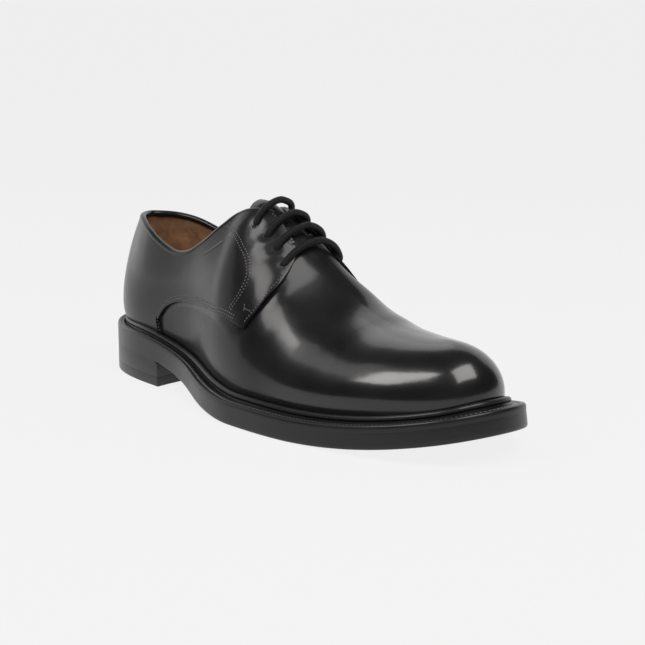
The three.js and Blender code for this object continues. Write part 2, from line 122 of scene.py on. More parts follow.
class Curve:
    """A smooth curve through given points."""

    def __init__(self, xs: tuple[float, ...], ys: tuple[float, ...]) -> None:
        """Takes the points' places and values, the places in rising order."""
        self.xs, self.ys = np.array(xs, float), np.array(ys, float)
        slopes = np.diff(self.ys) / np.diff(self.xs)
        weight = (self.xs[1:-1] - self.xs[:-2]) / (self.xs[2:] - self.xs[:-2])
        inside = mix(slopes[:-1], slopes[1:], weight)
        self.slopes = np.concatenate([slopes[:1], inside, slopes[-1:]])

    def __call__(self, place: Array) -> Array:
        """Returns the curve's value at a place, held level past its ends."""
        x = np.clip(place, self.xs[0], self.xs[-1])
        i = np.clip(np.searchsorted(self.xs, x, side="right") - 1, 0, len(self.xs) - 2)
        h = self.xs[i + 1] - self.xs[i]
        t = (x - self.xs[i]) / h
        level = mix(self.ys[i], self.ys[i + 1], t * t * (3 - 2 * t))
        return level + h * t * (1 - t) * (self.slopes[i] * (1 - t) - self.slopes[i + 1] * t)


def columns(rows: tuple[tuple[float, ...], ...], first: int, second: int) -> Curve:
    """Returns the curve of one column of a table over another."""
    return Curve(tuple(row[first] for row in rows), tuple(row[second] for row in rows))


def spline(points: Array, steps: int) -> Array:
    """Returns an even spline through points, with a number of steps between two of them."""
    ends = np.vstack([points[:1], points, points[-1:]])
    out = []
    for i in range(len(points) - 1):
        a, b, c, d = ends[i : i + 4]
        t = np.linspace(0, 1, steps, endpoint=False)[:, None]
        tangent, next_tangent = (c - a) / 2, (d - b) / 2
        curve = (2 * t**3 - 3 * t**2 + 1) * b + (t**3 - 2 * t**2 + t) * tangent
        out.append(curve + (3 * t**2 - 2 * t**3) * c + (t**3 - t**2) * next_tangent)
    return np.vstack([*out, points[-1:]])


# Along, half width and middle line of the sole's outline, shares of its length and of its widths.
OUTLINE = (
    (0, 0, 0), (0.02, 0.193, 0), (0.06, 0.344, 0), (0.14, 0.476, 0.004), (0.24, 0.5, -0.006),
    (0.35, 0.444, -0.042), (0.46, 0.428, -0.092), (0.56, 0.461, -0.071), (0.66, 0.4975, -0.018),
    (0.75, 0.485, 0.02), (0.84, 0.429, 0.041), (0.92, 0.34, 0.058), (0.97, 0.232, 0.058), (1, 0, 0.058),
)
# At, spine, rise, aside, full, swell and peak of the last's sections.
SECTIONS = (
    (0, 0.19, 1.05, 0, 1.9, 0.048, 0.14),
    (0.12, 0.208, 1.06, 0, 1.9, 0.045, 0.14),
    (0.24, 0.262, 1.09, 0.01, 1.95, 0.03, 0.2),
    (0.36, 0.361, 1.09, -0.01, 1.98, 0.032, 0.25),
    (0.43, 0.43, 1.05, -0.045, 1.88, 0.034, 0.25),
    (0.47, 0.469, 1.07, -0.06, 1.84, 0.036, 0.25),
    (0.54, 0.539, 0.85, -0.015, 1.85, 0.036, 0.25),
    (0.6, 0.597, 0.485, 0.048, 1.94, 0.038, 0.25),
    (0.66, 0.652, 0.234, 0.065, 2.06, 0.04, 0.25),
    (0.74, 0.721, 0.078, 0.065, 2.15, 0.04, 0.25),
    (0.82, 0.784, 0.005, 0.072, 2.25, 0.035, 0.25),
    (0.92, 0.84, -0.045, 0.078, 2.3, 0.012, 0.25),
    (1, 0.865, -0.06, 0.08, 2.35, 0.004, 0.25),
)
# Along and rise of the topline seen from the side.
TOPLINE = (
    (-0.04, 0), (0.06, 0), (0.1, -0.022), (0.129, -0.081), (0.166, -0.204), (0.204, -0.325), (0.238, -0.39),
    (0.268, -0.405), (0.297, -0.347), (0.326, -0.216), (0.351, -0.04), (0.377, 0.168), (0.398, 0.38),
    (0.416, 0.56), (0.431, 0.72), (0.45, 0.85), (0.47, 0.93), (0.48, 0.95),
)
# Along, outer and inner of the facings' front edges in plan, then how far the inner one runs ahead.
FACING_EDGE = (
    (0.43, -0.125, -0.05), (0.465, -0.12, -0.035), (0.5, -0.108, -0.015), (0.52, -0.101, 0.015),
    (0.538, -0.099, 0.05), (0.554, -0.1, 0.095), (0.567, -0.13, 0.15), (0.5745, -0.225, 0.25),
    (0.566, -0.336, 0.37), (0.549, -0.405, 0.45), (0.52, -0.56, 0.62),
)
INNER_LEAD = (0, 0, 0, 0, 0, 0.004, 0.014, 0.03, 0.036, 0.034, 0.03)
# Along and height of the quarters' lower edges from the side.
QUARTER_FOOT = (
    (0.235, 0), (0.232, 0.088), (0.241, 0.152), (0.265, 0.23), (0.304, 0.298), (0.358, 0.353),
    (0.425, 0.4), (0.497, 0.419), (0.548, 0.39), (0.6, 0.35), (0.64, 0.325),
)
# Along, middle and half width of the tongue in plan.
TONGUE_EDGE = (
    (0.442, 0.0, 0.3), (0.448, 0.0, 0.44), (0.465, 0.0, 0.5), (0.52, 0.01, 0.5), (0.59, 0.04, 0.42),
)
EYELETS = (0.49, 0.518, 0.541, 0.562)
# Points of the facing's spline from row to row, rows round its front corner, and halvings in a search.
FACING_STEPS = 14
CORNER_ROWS = 5
HALVINGS = 22


@dataclass(frozen=True)
class Last:
    """The last that the shoe was made on, in millimetres from the back of the heel."""

    length: float = 305.0
    ball: float = 100.0
    heel: float = 68.5
    heel_height: float = 15.7
    bottom: float = 11.7
    spring: float = 14.1
    welt_heel: float = 4.4
    welt_ball: float = 7.4
    welt_toe: float = 7.0
    bead: float = 3.0
    clearance: float = 0.3
    back: float = 62.0
    instep: float = 91.0
    toe: float = 38.0
    wall: float = 1.6
    quarter: float = 1.1
    slope: float = 0.04
    waist: tuple[float, float] = (0.24, 0.56)
    arch: tuple[float, float] = (0.153, 0.55)
    quarter_thins: tuple[float, float] = (0.06, 0.36)
    toe_from: float = 0.68
    centre: tuple[float, float, float] = (152.5, -1.29, 0.0)
    nudge: float = 0.003

    def placed(self, points: Array) -> Array:
        """Returns points in metres in the part's own frame."""
        return (points - np.array(self.centre)) * MM

    def share(self, turn: Array) -> Array:
        """Returns the share of the length that a turn round the outline stands at."""
        return (1 - np.cos(turn)) / 2

    def turn(self, share: Array) -> Array:
        """Returns the turn on the outer side for a share of the length."""
        return np.arccos(np.clip(1 - 2 * np.asarray(share, float), -1, 1))

    def on_side(self, turn: Array, side: Side) -> Array:
        """Returns an outer turn carried over to a side."""
        return turn if side is Side.OUTER else 2 * np.pi - turn

    def outline(self, turn: Array) -> Array:
        """Returns the sole's outline at a turn."""
        turn = np.mod(turn, 2 * np.pi)
        share = self.share(turn)
        folded = np.minimum(turn, 2 * np.pi - turn)
        places = tuple(self.turn(row[0]) for row in OUTLINE)
        half = Curve(places, tuple(row[1] for row in OUTLINE))(folded)
        width = mix(self.heel, self.ball, smoothstep(share, *self.waist))
        middle = columns(OUTLINE, 0, 2)(share) * self.ball
        sign = np.where(turn > np.pi, 1.0, -1.0)
        return np.stack([share * self.length, middle + sign * half * width], -1)

    def inside(self, turn: Array, inward: Array) -> Array:
        """Returns the outline moved inwards, square to itself."""
        along = unit(self.outline(turn + self.nudge) - self.outline(turn - self.nudge))
        square = np.stack([-along[..., 1], along[..., 0]], -1)
        return self.outline(turn) + square * np.asarray(inward, float)[..., None]

    def underside(self, share: Array) -> Array:
        """Returns the height of the sole's underside over the floor."""
        seat = self.heel_height * (1 - smoothstep(share, *self.arch))
        lift = np.maximum(0, (share - self.toe_from) / (1 - self.toe_from))
        return seat + self.spring * lift * lift

    def welt_top(self, share: Array) -> Array:
        """Returns the height of the welt's rim."""
        return self.underside(share) + self.bottom

    def welt_width(self, share: Array) -> Array:
        """Returns the width of the welt's flat rim."""
        ball = mix(self.welt_heel, self.welt_ball, smoothstep(share, *self.waist))
        return mix(ball, self.welt_toe, smoothstep(share, self.toe_from, 1))

    def feather(self, share: Array) -> Array:
        """Returns how far inside the outline the last's lower edge runs."""
        quarter = self.quarter * (1 - smoothstep(share, *self.quarter_thins))
        return self.welt_width(share) + self.bead + self.clearance + self.wall + quarter

    def spine(self, share: Array) -> Array:
        """Returns the point on the last's ridge for a section."""
        along = columns(SECTIONS, 0, 1)(share)
        height = mix(self.toe, self.instep, columns(SECTIONS, 0, 2)(share)) - self.wall
        aside = columns(SECTIONS, 0, 3)(share) * self.ball
        return np.stack([along * self.length, aside, self.welt_top(along) + height], -1)

    def surface(self, turn: Array, level: Array) -> Array:
        """Finds points on the last.

        Args:
            turn: Places round the outline, from the back of the heel over the outer side.
            level: Heights from 0 at the welt to 1 on the ridge.

        Returns:
            The points, in millimetres from the back of the heel.
        """
        turn, level = np.broadcast_arrays(np.asarray(turn, float), np.asarray(level, float))
        share = self.share(turn)
        foot, ridge = self.inside(turn, self.feather(share)), self.spine(share)
        angle = np.clip(level, 0, 1) * np.pi / 2
        power = 2 / columns(SECTIONS, 0, 4)(share)
        inward = 1 - np.maximum(np.cos(angle), 0) ** power
        upward = np.sin(angle) ** power
        bend = math.log(0.5) / np.log(columns(SECTIONS, 0, 6)(share))
        wave = np.sin(np.pi * np.clip(level, 0, 1) ** bend) ** 2
        swell = columns(SECTIONS, 0, 5)(share) * self.ball * wave
        out = foot - self.inside(turn, self.feather(share) + 1)
        x = mix(foot[..., 0], ridge[..., 0], inward) + out[..., 0] * swell
        y = mix(foot[..., 1], ridge[..., 1], inward) + out[..., 1] * swell
        return np.stack([x, y, mix(self.welt_top(share), ridge[..., 2], upward)], -1)

    def raw_normal(self, turn: Array, level: Array) -> Array:
        """Returns the direction out of the last on one side."""
        turn, level = np.broadcast_arrays(np.asarray(turn, float), np.asarray(level, float))
        low = np.minimum(level, 1 - self.nudge)
        here = self.surface(turn, low)
        across = self.surface(turn, low + self.nudge) - here
        square = np.cross(self.surface(turn + self.nudge, low) - here, across)
        square[..., 2] = np.where(level <= 0, 0, square[..., 2])
        return unit(square)

    def normal(self, turn: Array, level: Array) -> Array:
        """Returns the direction out of the last, the mean of both sides on the ridge."""
        own = self.raw_normal(turn, level)
        other = self.raw_normal(2 * np.pi - np.asarray(turn, float), level)
        near = smoothstep(np.broadcast_to(level, own.shape[:-1]), 0.97, 1.0)[..., None]
        return unit(own + other * near)

    def off(self, turn: Array, level: Array, out: Array) -> Array:
        """Returns points at a distance out of the last."""
        away = np.asarray(out, float)
        return self.surface(turn, level) + self.normal(turn, level) * np.expand_dims(away, -1)

    def level_where(self, turn: Array, below: Callable[[Array], Array]) -> Array:
        """Finds, on each section, the level where a test stops holding.

        Args:
            turn: The sections.
            below: Takes points and tells which lie under the wanted place.

        Returns:
            The levels.
        """
        low, high = np.zeros_like(turn), np.ones_like(turn)
        for _ in range(HALVINGS):
            level = (low + high) / 2
            under = below(self.off(turn, level, (self.wall + self.quarter) / 2))
            low, high = np.where(under, level, low), np.where(under, high, level)
        return low

    def topline(self, turn: Array) -> Array:
        """Returns the level of the collar's edge."""
        rise = columns(TOPLINE, 0, 1)

        def under(points: Array) -> Array:
            """Tells which points lie under the collar's edge."""
            along = points[..., 0] / self.length
            height = self.welt_top(along) + mix(self.back, self.instep, rise(along))
            return points[..., 2] < height - self.slope * points[..., 1]

        return self.level_where(turn, under)

    def level_across(self, turn: Array, across: Array, side: Side) -> Array:
        """Returns the level at which sections of a side pass a place across the shoe."""
        low, high = np.zeros_like(turn), np.ones_like(turn)
        for _ in range(HALVINGS):
            level = (low + high) / 2
            out = self.surface(turn, level)[..., 1] * side.value > across * side.value
            low, high = np.where(out, level, low), np.where(out, high, level)
        return low

    def turn_at_spine(self, along: float) -> float:
        """Returns the outer turn whose section has its top at a share of the length."""
        shares = np.linspace(0.3, 1, 1401)
        return float(self.turn(np.interp(along, columns(SECTIONS, 0, 1)(shares), shares)))

    def nearest(self, points: Array, axes: Axes, side: Side) -> Array:
        """Finds turns and levels of points of which two coordinates are given.

        Args:
            points: The given coordinates, one row a point.
            axes: Which coordinates they are.
            side: The side to look on.

        Returns:
            Turn and level, one row a point.
        """
        given = list(axes.value)
        turns = self.on_side(np.linspace(0.03, np.pi - 0.03, 150), side)
        levels = np.linspace(0.0, 0.995, 70)
        grid = np.stack(np.meshgrid(turns, levels, indexing="ij"), -1).reshape(-1, 2)
        cloud = self.surface(grid[:, 0], grid[:, 1])[:, given]
        far = ((points[:, None, :] - cloud[None]) ** 2).sum(-1)
        place = grid[far.argmin(1)].copy()
        for _ in range(12):
            here = self.surface(place[:, 0], place[:, 1])[:, given]
            step = 1e-4
            by_turn = (self.surface(place[:, 0] + step, place[:, 1])[:, given] - here) / step
            by_level = (self.surface(place[:, 0], place[:, 1] - step)[:, given] - here) / -step
            jacobian = np.stack([by_turn, by_level], -1)
            square = np.einsum("nki,nkj->nij", jacobian, jacobian) + np.eye(2) * 1e-3
            pull = np.einsum("nki,nk->ni", jacobian, points - here)
            place += np.clip(np.linalg.solve(square, pull[..., None])[..., 0], -0.05, 0.05)
            place[:, 1] = np.clip(place[:, 1], 0.0, 0.9995)
        return place


LAST = Last()


@dataclass(frozen=True)
class Crease:
    """A soft trough or ridge in the leather, from one place to another.

    Start and end are millimetres from the back of the heel, width is how far it fades and depth how far it
    stands out, or in where it is below 0.
    """

    start: tuple[float, float, float]
    end: tuple[float, float, float]
    width: float
    depth: float

    def push(self, points: Array) -> Array:
        """Returns how far the crease moves each point out of the surface."""
        start, run = np.array(self.start), np.array(self.end) - np.array(self.start)
        share = np.clip(((points - start) @ run) / max(float(run @ run), 1e-9), 0, 1)
        away = np.linalg.norm(points - start - share[..., None] * run, axis=-1)
        return self.depth * np.exp(-((away / self.width) ** 2))


def pushed(creases: tuple[Crease, ...], points: Array) -> Array:
    """Returns how far several creases together move points."""
    return sum((crease.push(points) for crease in creases), np.zeros(points.shape[:-1]))


def deselect_all() -> None:
    """Leaves nothing selected."""
    if bpy.context.object and bpy.context.object.mode != "OBJECT":
        bpy.ops.object.mode_set(mode="OBJECT")
    bpy.ops.object.select_all(action="DESELECT")


def choose(piece: bpy.types.Object) -> None:
    """Makes a piece the one selected and active object."""
    deselect_all()
    piece.select_set(True)
    bpy.context.view_layer.objects.active = piece


def mesh_piece(name: str, points: Array, faces: list[tuple[int, ...]]) -> bpy.types.Object:
    """Makes an object from points in metres and faces."""
    mesh = bpy.data.meshes.new(name)
    mesh.from_pydata(points.reshape(-1, 3).tolist(), [], faces)
    piece = bpy.data.objects.new(name, mesh)
    bpy.context.scene.collection.objects.link(piece)
    return piece


def grid_faces(rows: int, cols: int, start: int = 0, flip: bool = False, wrap: bool = False) -> list:
    """Lists the faces of a grid of points.

    Args:
        rows: How many rows of points there are.
        cols: How many points a row has.
        start: The first point's number.
        flip: Turns the faces round.
        wrap: Closes the last row to the first.

    Returns:
        The faces, four numbers each.
    """
    index = np.arange(rows * cols).reshape(rows, cols) + start
    if wrap:
        index = np.vstack([index, index[:1]])
    faces = np.stack([index[:-1, :-1], index[1:, :-1], index[1:, 1:], index[:-1, 1:]], -1).reshape(-1, 4)
    return [tuple(face) for face in (faces[:, ::-1] if flip else faces).tolist()]


def grid_piece(name: str, grid: Array, flip: bool = False, wrap: bool = False) -> bpy.types.Object:
    """Makes a sheet from a grid of points in metres."""
    rows, cols = grid.shape[:2]
    return mesh_piece(name, grid, grid_faces(rows, cols, flip=flip, wrap=wrap))


def edit_all(piece: bpy.types.Object, operator: Callable[..., object], **settings: object) -> None:
    """Runs an edit mode operator on the whole of a piece, and leaves the piece chosen."""
    choose(piece)
    bpy.ops.object.mode_set(mode="EDIT")
    bpy.ops.mesh.select_all(action="SELECT")
    operator(**settings)
    bpy.ops.object.mode_set(mode="OBJECT")


def merge_points(piece: bpy.types.Object, distance: float = 1e-6) -> None:
    """Merges the points of a piece that lie on each other."""
    edit_all(piece, bpy.ops.mesh.remove_doubles, threshold=distance)


def outward(piece: bpy.types.Object) -> None:
    """Turns all faces of a closed piece outwards."""
    edit_all(piece, bpy.ops.mesh.normals_make_consistent, inside=False)


def soften(piece: bpy.types.Object) -> None:
    """Turns a closed piece's faces outwards and shades it smooth all over."""
    outward(piece)
    bpy.ops.object.shade_smooth()


def seal(piece: bpy.types.Object, degrees: float) -> None:
    """Merges a closed piece's seam, turns its faces outwards and keeps edges sharper than an angle."""
    merge_points(piece)
    outward(piece)
    bpy.ops.object.shade_smooth_by_angle(angle=math.radians(degrees))


def thicken(piece: bpy.types.Object, thickness: float, rounding: float) -> None:
    """Gives a sheet its thickness inwards and rounds its edges, in millimetres."""
    choose(piece)
    bpy.ops.object.modifier_add(type="SOLIDIFY")
    solid = piece.modifiers[-1]
    solid.thickness, solid.offset = thickness * MM, -1
    bpy.ops.object.modifier_apply(modifier=solid.name)
    round_edges(piece, rounding)


def round_edges(piece: bpy.types.Object, rounding: float, segments: int = 2, angle: float = 50) -> None:
    """Rounds a piece's sharp edges, in millimetres, and shades it smooth."""
    choose(piece)
    bpy.ops.object.modifier_add(type="BEVEL")
    bevel = piece.modifiers[-1]
    bevel.width, bevel.segments = rounding * MM, segments
    bevel.limit_method, bevel.angle_limit = "ANGLE", math.radians(angle)
    bpy.ops.object.modifier_apply(modifier=bevel.name)
    bpy.ops.object.shade_smooth_by_angle(angle=math.radians(50))


def joined(name: str, parts: list[bpy.types.Object]) -> bpy.types.Object:
    """Joins parts into one piece with a name."""
    deselect_all()
    for part in parts:
        part.select_set(True)
    bpy.context.view_layer.objects.active = parts[0]
    if len(parts) > 1:
        bpy.ops.object.join()
    parts[0].name = name
    parts[0].data.name = name
    return parts[0]


def tube_grid(path: Array, radius: Array, sides: int, caps: int = 4) -> tuple[Array, Array]:
    """Sweeps a round section along a path and closes it with round ends.

    Args:
        path: The path's points in metres.
        radius: The radius at each point in metres.
        sides: How many points the section has.
        caps: How many rings each end's rounding has.

    Returns:
        The rings of points, and the distance of each ring along the path.
    """
    tangents = unit(np.gradient(path, axis=0))
    side = np.cross(tangents[0], [0.0, 0.0, 1.0])
    if np.linalg.norm(side) < 0.1:
        side = np.cross(tangents[0], [0.0, 1.0, 0.0])
    sides_list, normal = [], unit(side)
    for tangent in tangents:
        normal = unit(normal - tangent * float(normal @ tangent))
        sides_list.append(normal)
    normals = np.array(sides_list)
    others = np.cross(tangents, normals)
    angles = np.linspace(0, 2 * np.pi, sides, endpoint=False)
    spin = np.cos(angles)[None, :, None] * normals[:, None] + np.sin(angles)[None, :, None] * others[:, None]
    rings = path[:, None] + spin * radius[:, None, None]
    run = lengths_along(path)
    lead, tail, lead_run, tail_run = [], [], [], []
    for k in range(caps, 0, -1):
        lean = k / caps * np.pi / 2
        size, reach = math.cos(lean) + 1e-4, math.sin(lean)
        lead.append(path[0] + spin[0] * radius[0] * size - tangents[0] * radius[0] * reach)
        lead_run.append(run[0] - radius[0] * reach)
        tail.insert(0, path[-1] + spin[-1] * radius[-1] * size + tangents[-1] * radius[-1] * reach)
        tail_run.insert(0, run[-1] + radius[-1] * reach)
    return np.concatenate([lead, rings, tail]), np.concatenate([lead_run, run, tail_run])


def tube_piece(name: str, path: Array, radius: Array, sides: int) -> bpy.types.Object:
    """Makes a round closed tube along a path in metres, with length and turn in its UV map."""
    rings, run = tube_grid(path, radius, sides)
    rows = len(rings)
    faces = []
    for i in range(rows - 1):
        for j in range(sides):
            k = (j + 1) % sides
            faces.append((i * sides + j, i * sides + k, (i + 1) * sides + k, (i + 1) * sides + j))
    faces.append(tuple(range(sides))[::-1])
    faces.append(tuple((rows - 1) * sides + j for j in range(sides)))
    piece = mesh_piece(name, rings, faces)
    uv = piece.data.uv_layers.new(name="lay")
    flat = np.zeros((len(piece.data.loops), 2))
    for face in piece.data.polygons:
        for loop in face.loop_indices:
            vertex = piece.data.loops[loop].vertex_index
            i, j = divmod(vertex, sides)
            flat[loop] = (run[i], j / sides)
        around = flat[list(face.loop_indices), 1]
        if around.max() - around.min() > 0.5:
            for loop in face.loop_indices:
                flat[loop, 1] += 1.0 if flat[loop, 1] < 0.5 else 0.0
    uv.data.foreach_set("uv", flat.ravel())
    soften(piece)
    return piece


def linear(code: str) -> tuple[float, float, float, float]:
    """Returns an sRGB hex colour as linear red, green, blue and alpha."""
    shares = [int(code.lstrip("#")[i : i + 2], 16) / 255 for i in (0, 2, 4)]
    red, green, blue = (s / 12.92 if s <= 0.04045 else ((s + 0.055) / 1.055) ** 2.4 for s in shares)
    return (red, green, blue, 1.0)


def add_node(
    tree: bpy.types.NodeTree, kind: str, inputs: dict | None = None, **settings: object
) -> bpy.types.Node:
    """Adds a node with its settings and links.

    Args:
        tree: The material's tree.
        kind: The node's type.
        inputs: Socket names or numbers, each with a value or with a node and the name of its output.
        **settings: The node's own properties.

    Returns:
        The node.
    """
    node = tree.nodes.new(kind)
    for key, value in settings.items():
        setattr(node, key, value)
    for key, value in (inputs or {}).items():
        if isinstance(value, tuple) and isinstance(value[0], bpy.types.Node):
            tree.links.new(value[0].outputs[value[1]], node.inputs[key])
        else:
            node.inputs[key].default_value = value
    return node


def fresh_material(name: str) -> tuple[bpy.types.Material, bpy.types.NodeTree, bpy.types.Node]:
    """Returns a new empty material, its tree and its output node."""
    material = bpy.data.materials.new(name)
    material.use_nodes = True
    tree = material.node_tree
    tree.nodes.clear()
    return material, tree, tree.nodes.new("ShaderNodeOutputMaterial")


@dataclass(frozen=True)
class PolishedCalf:
    """Box calf, chrome tanned, aniline dyed black, waxed and brushed by hand.

    The wax fills most of the pores, so the grain is very fine and shallow, and the gloss changes a little
    from place to place where the brush has passed. The toe is waxed more than the part behind the ball.
    """

    name: str = "box_calf_brushed_black"
    dark: str = "#111113"
    worn: str = "#1b1b1d"
    rough_low: float = 0.27
    rough_high: float = 0.36
    body_gloss: float = 0.17
    coat: float = 0.85
    coat_behind: float = 0.27
    coat_rough: float = 0.15
    pore_mm: float = 0.55
    pore_depth_mm: float = 0.006
    cloud_mm: float = 16.0
    ripple_mm: float = 7.0
    ripple_depth_mm: float = 0.05

    def build(self) -> bpy.types.Material:
        """Returns the material."""
        material, tree, out = fresh_material(self.name)
        place = add_node(tree, "ShaderNodeTexCoord")
        clouds = add_node(
            tree, "ShaderNodeTexNoise",
            {"Vector": (place, "Object"), "Scale": 1 / (self.cloud_mm * MM), "Detail": 3.0,
             "Roughness": 0.5},
        )
        tone = add_node(
            tree, "ShaderNodeMix",
            {0: (clouds, "Fac"), "A": linear(self.dark), "B": linear(self.worn)}, data_type="RGBA",
        )
        rough = add_node(
            tree, "ShaderNodeMapRange",
            {"Value": (clouds, "Fac"), "From Min": 0.3, "From Max": 0.7,
             "To Min": self.rough_low, "To Max": self.rough_high},
        )
        pores = add_node(
            tree, "ShaderNodeTexVoronoi",
            {"Vector": (place, "Object"), "Scale": 1 / (self.pore_mm * MM)}, feature="DISTANCE_TO_EDGE",
        )
        ripple = add_node(
            tree, "ShaderNodeTexNoise",
            {"Vector": (place, "Object"), "Scale": 1 / (self.ripple_mm * MM), "Detail": 2.0},
        )
        soft = add_node(
            tree, "ShaderNodeBump",
            {"Height": (ripple, "Fac"), "Distance": self.ripple_depth_mm * MM, "Strength": 1.0},
        )
        grain = add_node(
            tree, "ShaderNodeBump",
            {"Height": (pores, "Distance"), "Distance": self.pore_depth_mm * MM, "Strength": 1.0,
             "Normal": (soft, "Normal")},
        )
        parts = add_node(tree, "ShaderNodeSeparateXYZ", {0: (place, "Object")})
        wax = add_node(
            tree, "ShaderNodeMapRange",
            {"Value": (parts, "X"), "From Min": 0.025, "From Max": 0.06, "To Min": self.coat_behind,
             "To Max": self.coat}, interpolation_type="SMOOTHSTEP",
        )
        shader = add_node(
            tree, "ShaderNodeBsdfPrincipled",
            {"Base Color": (tone, "Result"), "Roughness": (rough, "Result"), "IOR": 1.5,
             "Specular IOR Level": self.body_gloss, "Coat Weight": (wax, "Result"),
             "Coat Roughness": self.coat_rough, "Normal": (grain, "Normal"),
             "Coat Normal": (soft, "Normal")},
        )
        tree.links.new(shader.outputs[0], out.inputs[0])
        return material


@dataclass(frozen=True)
class SuedeLining:
    """Vegetable-tanned lining split, buffed to a short nap, brown.

    The nap lies this way and that, so it is matt; its mottle is painted light and shade, a shaded and a lit
    brown mixed by noise. Just under the collar a black strip covers it, and the attribute called drop
    tells how far a place is below the collar's edge in millimetres.
    """

    name: str = "lining_split_buffed_brown"
    # Shaded and lit copies of the brown, mixed by noise as painted light and shade.
    shade: str = "#7a5840"
    lit: str = "#b48c68"
    strip: str = "#141416"
    strip_mm: float = 2.0
    mottle_mm: float = 9.0
    nap_mm: float = 0.5
    nap_depth_mm: float = 0.12

    def build(self) -> bpy.types.Material:
        """Returns the material."""
        material, tree, out = fresh_material(self.name)
        place = add_node(tree, "ShaderNodeTexCoord")
        mottle = add_node(
            tree, "ShaderNodeTexNoise",
            {"Vector": (place, "Object"), "Scale": 1 / (self.mottle_mm * MM), "Detail": 6.0,
             "Roughness": 0.65},
        )
        share = add_node(
            tree, "ShaderNodeMapRange", {"Value": (mottle, "Fac"), "From Min": 0.32, "From Max": 0.68}
        )
        # A shaded and a lit brown mixed by the mottle: painted light and shade on the nap.
        brown = add_node(
            tree, "ShaderNodeMix",
            {0: (share, "Result"), "A": linear(self.shade), "B": linear(self.lit)}, data_type="RGBA",
        )
        drop = add_node(tree, "ShaderNodeAttribute", attribute_name="drop")
        wavy = add_node(
            tree, "ShaderNodeMath", {0: (mottle, "Fac"), 1: 1.2, 2: (drop, "Fac")}, operation="MULTIPLY_ADD"
        )
        past = add_node(
            tree, "ShaderNodeMapRange",
            {"Value": (wavy, "Value"), "From Min": self.strip_mm + 0.4, "From Max": self.strip_mm + 0.9},
        )
        tone = add_node(
            tree, "ShaderNodeMix",
            {0: (past, "Result"), "A": linear(self.strip), "B": (brown, "Result")}, data_type="RGBA",
        )
        nap = add_node(
            tree, "ShaderNodeTexNoise",
            {"Vector": (place, "Object"), "Scale": 1 / (self.nap_mm * MM), "Detail": 2.0},
        )
        bump = add_node(
            tree, "ShaderNodeBump",
            {"Height": (nap, "Fac"), "Distance": self.nap_depth_mm * MM, "Strength": 0.7},
        )
        rough = add_node(
            tree, "ShaderNodeMapRange", {"Value": (past, "Result"), "To Min": 0.45, "To Max": 0.92}
        )
        shader = add_node(
            tree, "ShaderNodeBsdfPrincipled",
            {"Base Color": (tone, "Result"), "Roughness": (rough, "Result"), "Sheen Weight": 0.25,
             "Sheen Roughness": 0.5, "Sheen Tint": linear("#b08a68"), "Normal": (bump, "Normal")},
        )
        tree.links.new(shader.outputs[0], out.inputs[0])
        return material


@dataclass(frozen=True)
class DressedEdge:
    """Rubber and leather edge, sanded, stained black and burnished with wax.

    Sanding leaves fine lines, so its sheen is satin and soft, with a few paler rubbed places.
    """

    name: str = "edge_sanded_waxed_black"
    dark: str = "#161617"
    rubbed: str = "#202021"
    rough_low: float = 0.38
    rough_high: float = 0.52
    coat: float = 0.4
    cloud_mm: float = 20.0
    grit_mm: float = 0.4
    grit_depth_mm: float = 0.02

    def build(self) -> bpy.types.Material:
        """Returns the material."""
        material, tree, out = fresh_material(self.name)
        place = add_node(tree, "ShaderNodeTexCoord")
        clouds = add_node(
            tree, "ShaderNodeTexNoise",
            {"Vector": (place, "Object"), "Scale": 1 / (self.cloud_mm * MM), "Detail": 4.0},
        )
        tone = add_node(
            tree, "ShaderNodeMix",
            {0: (clouds, "Fac"), "A": linear(self.dark), "B": linear(self.rubbed)}, data_type="RGBA",
        )
        rough = add_node(
            tree, "ShaderNodeMapRange",
            {"Value": (clouds, "Fac"), "From Min": 0.3, "From Max": 0.7,
             "To Min": self.rough_low, "To Max": self.rough_high},
        )
        grit = add_node(
            tree, "ShaderNodeTexNoise",
            {"Vector": (place, "Object"), "Scale": 1 / (self.grit_mm * MM), "Detail": 2.0},
        )
        bump = add_node(
            tree, "ShaderNodeBump",
            {"Height": (grit, "Fac"), "Distance": self.grit_depth_mm * MM, "Strength": 0.6},
        )
        shader = add_node(
            tree, "ShaderNodeBsdfPrincipled",
            {"Base Color": (tone, "Result"), "Roughness": (rough, "Result"), "IOR": 1.5,
             "Specular IOR Level": 0.18, "Coat Weight": self.coat, "Coat Roughness": 0.22,
             "Normal": (bump, "Normal")},
        )
        tree.links.new(shader.outputs[0], out.inputs[0])
        return material


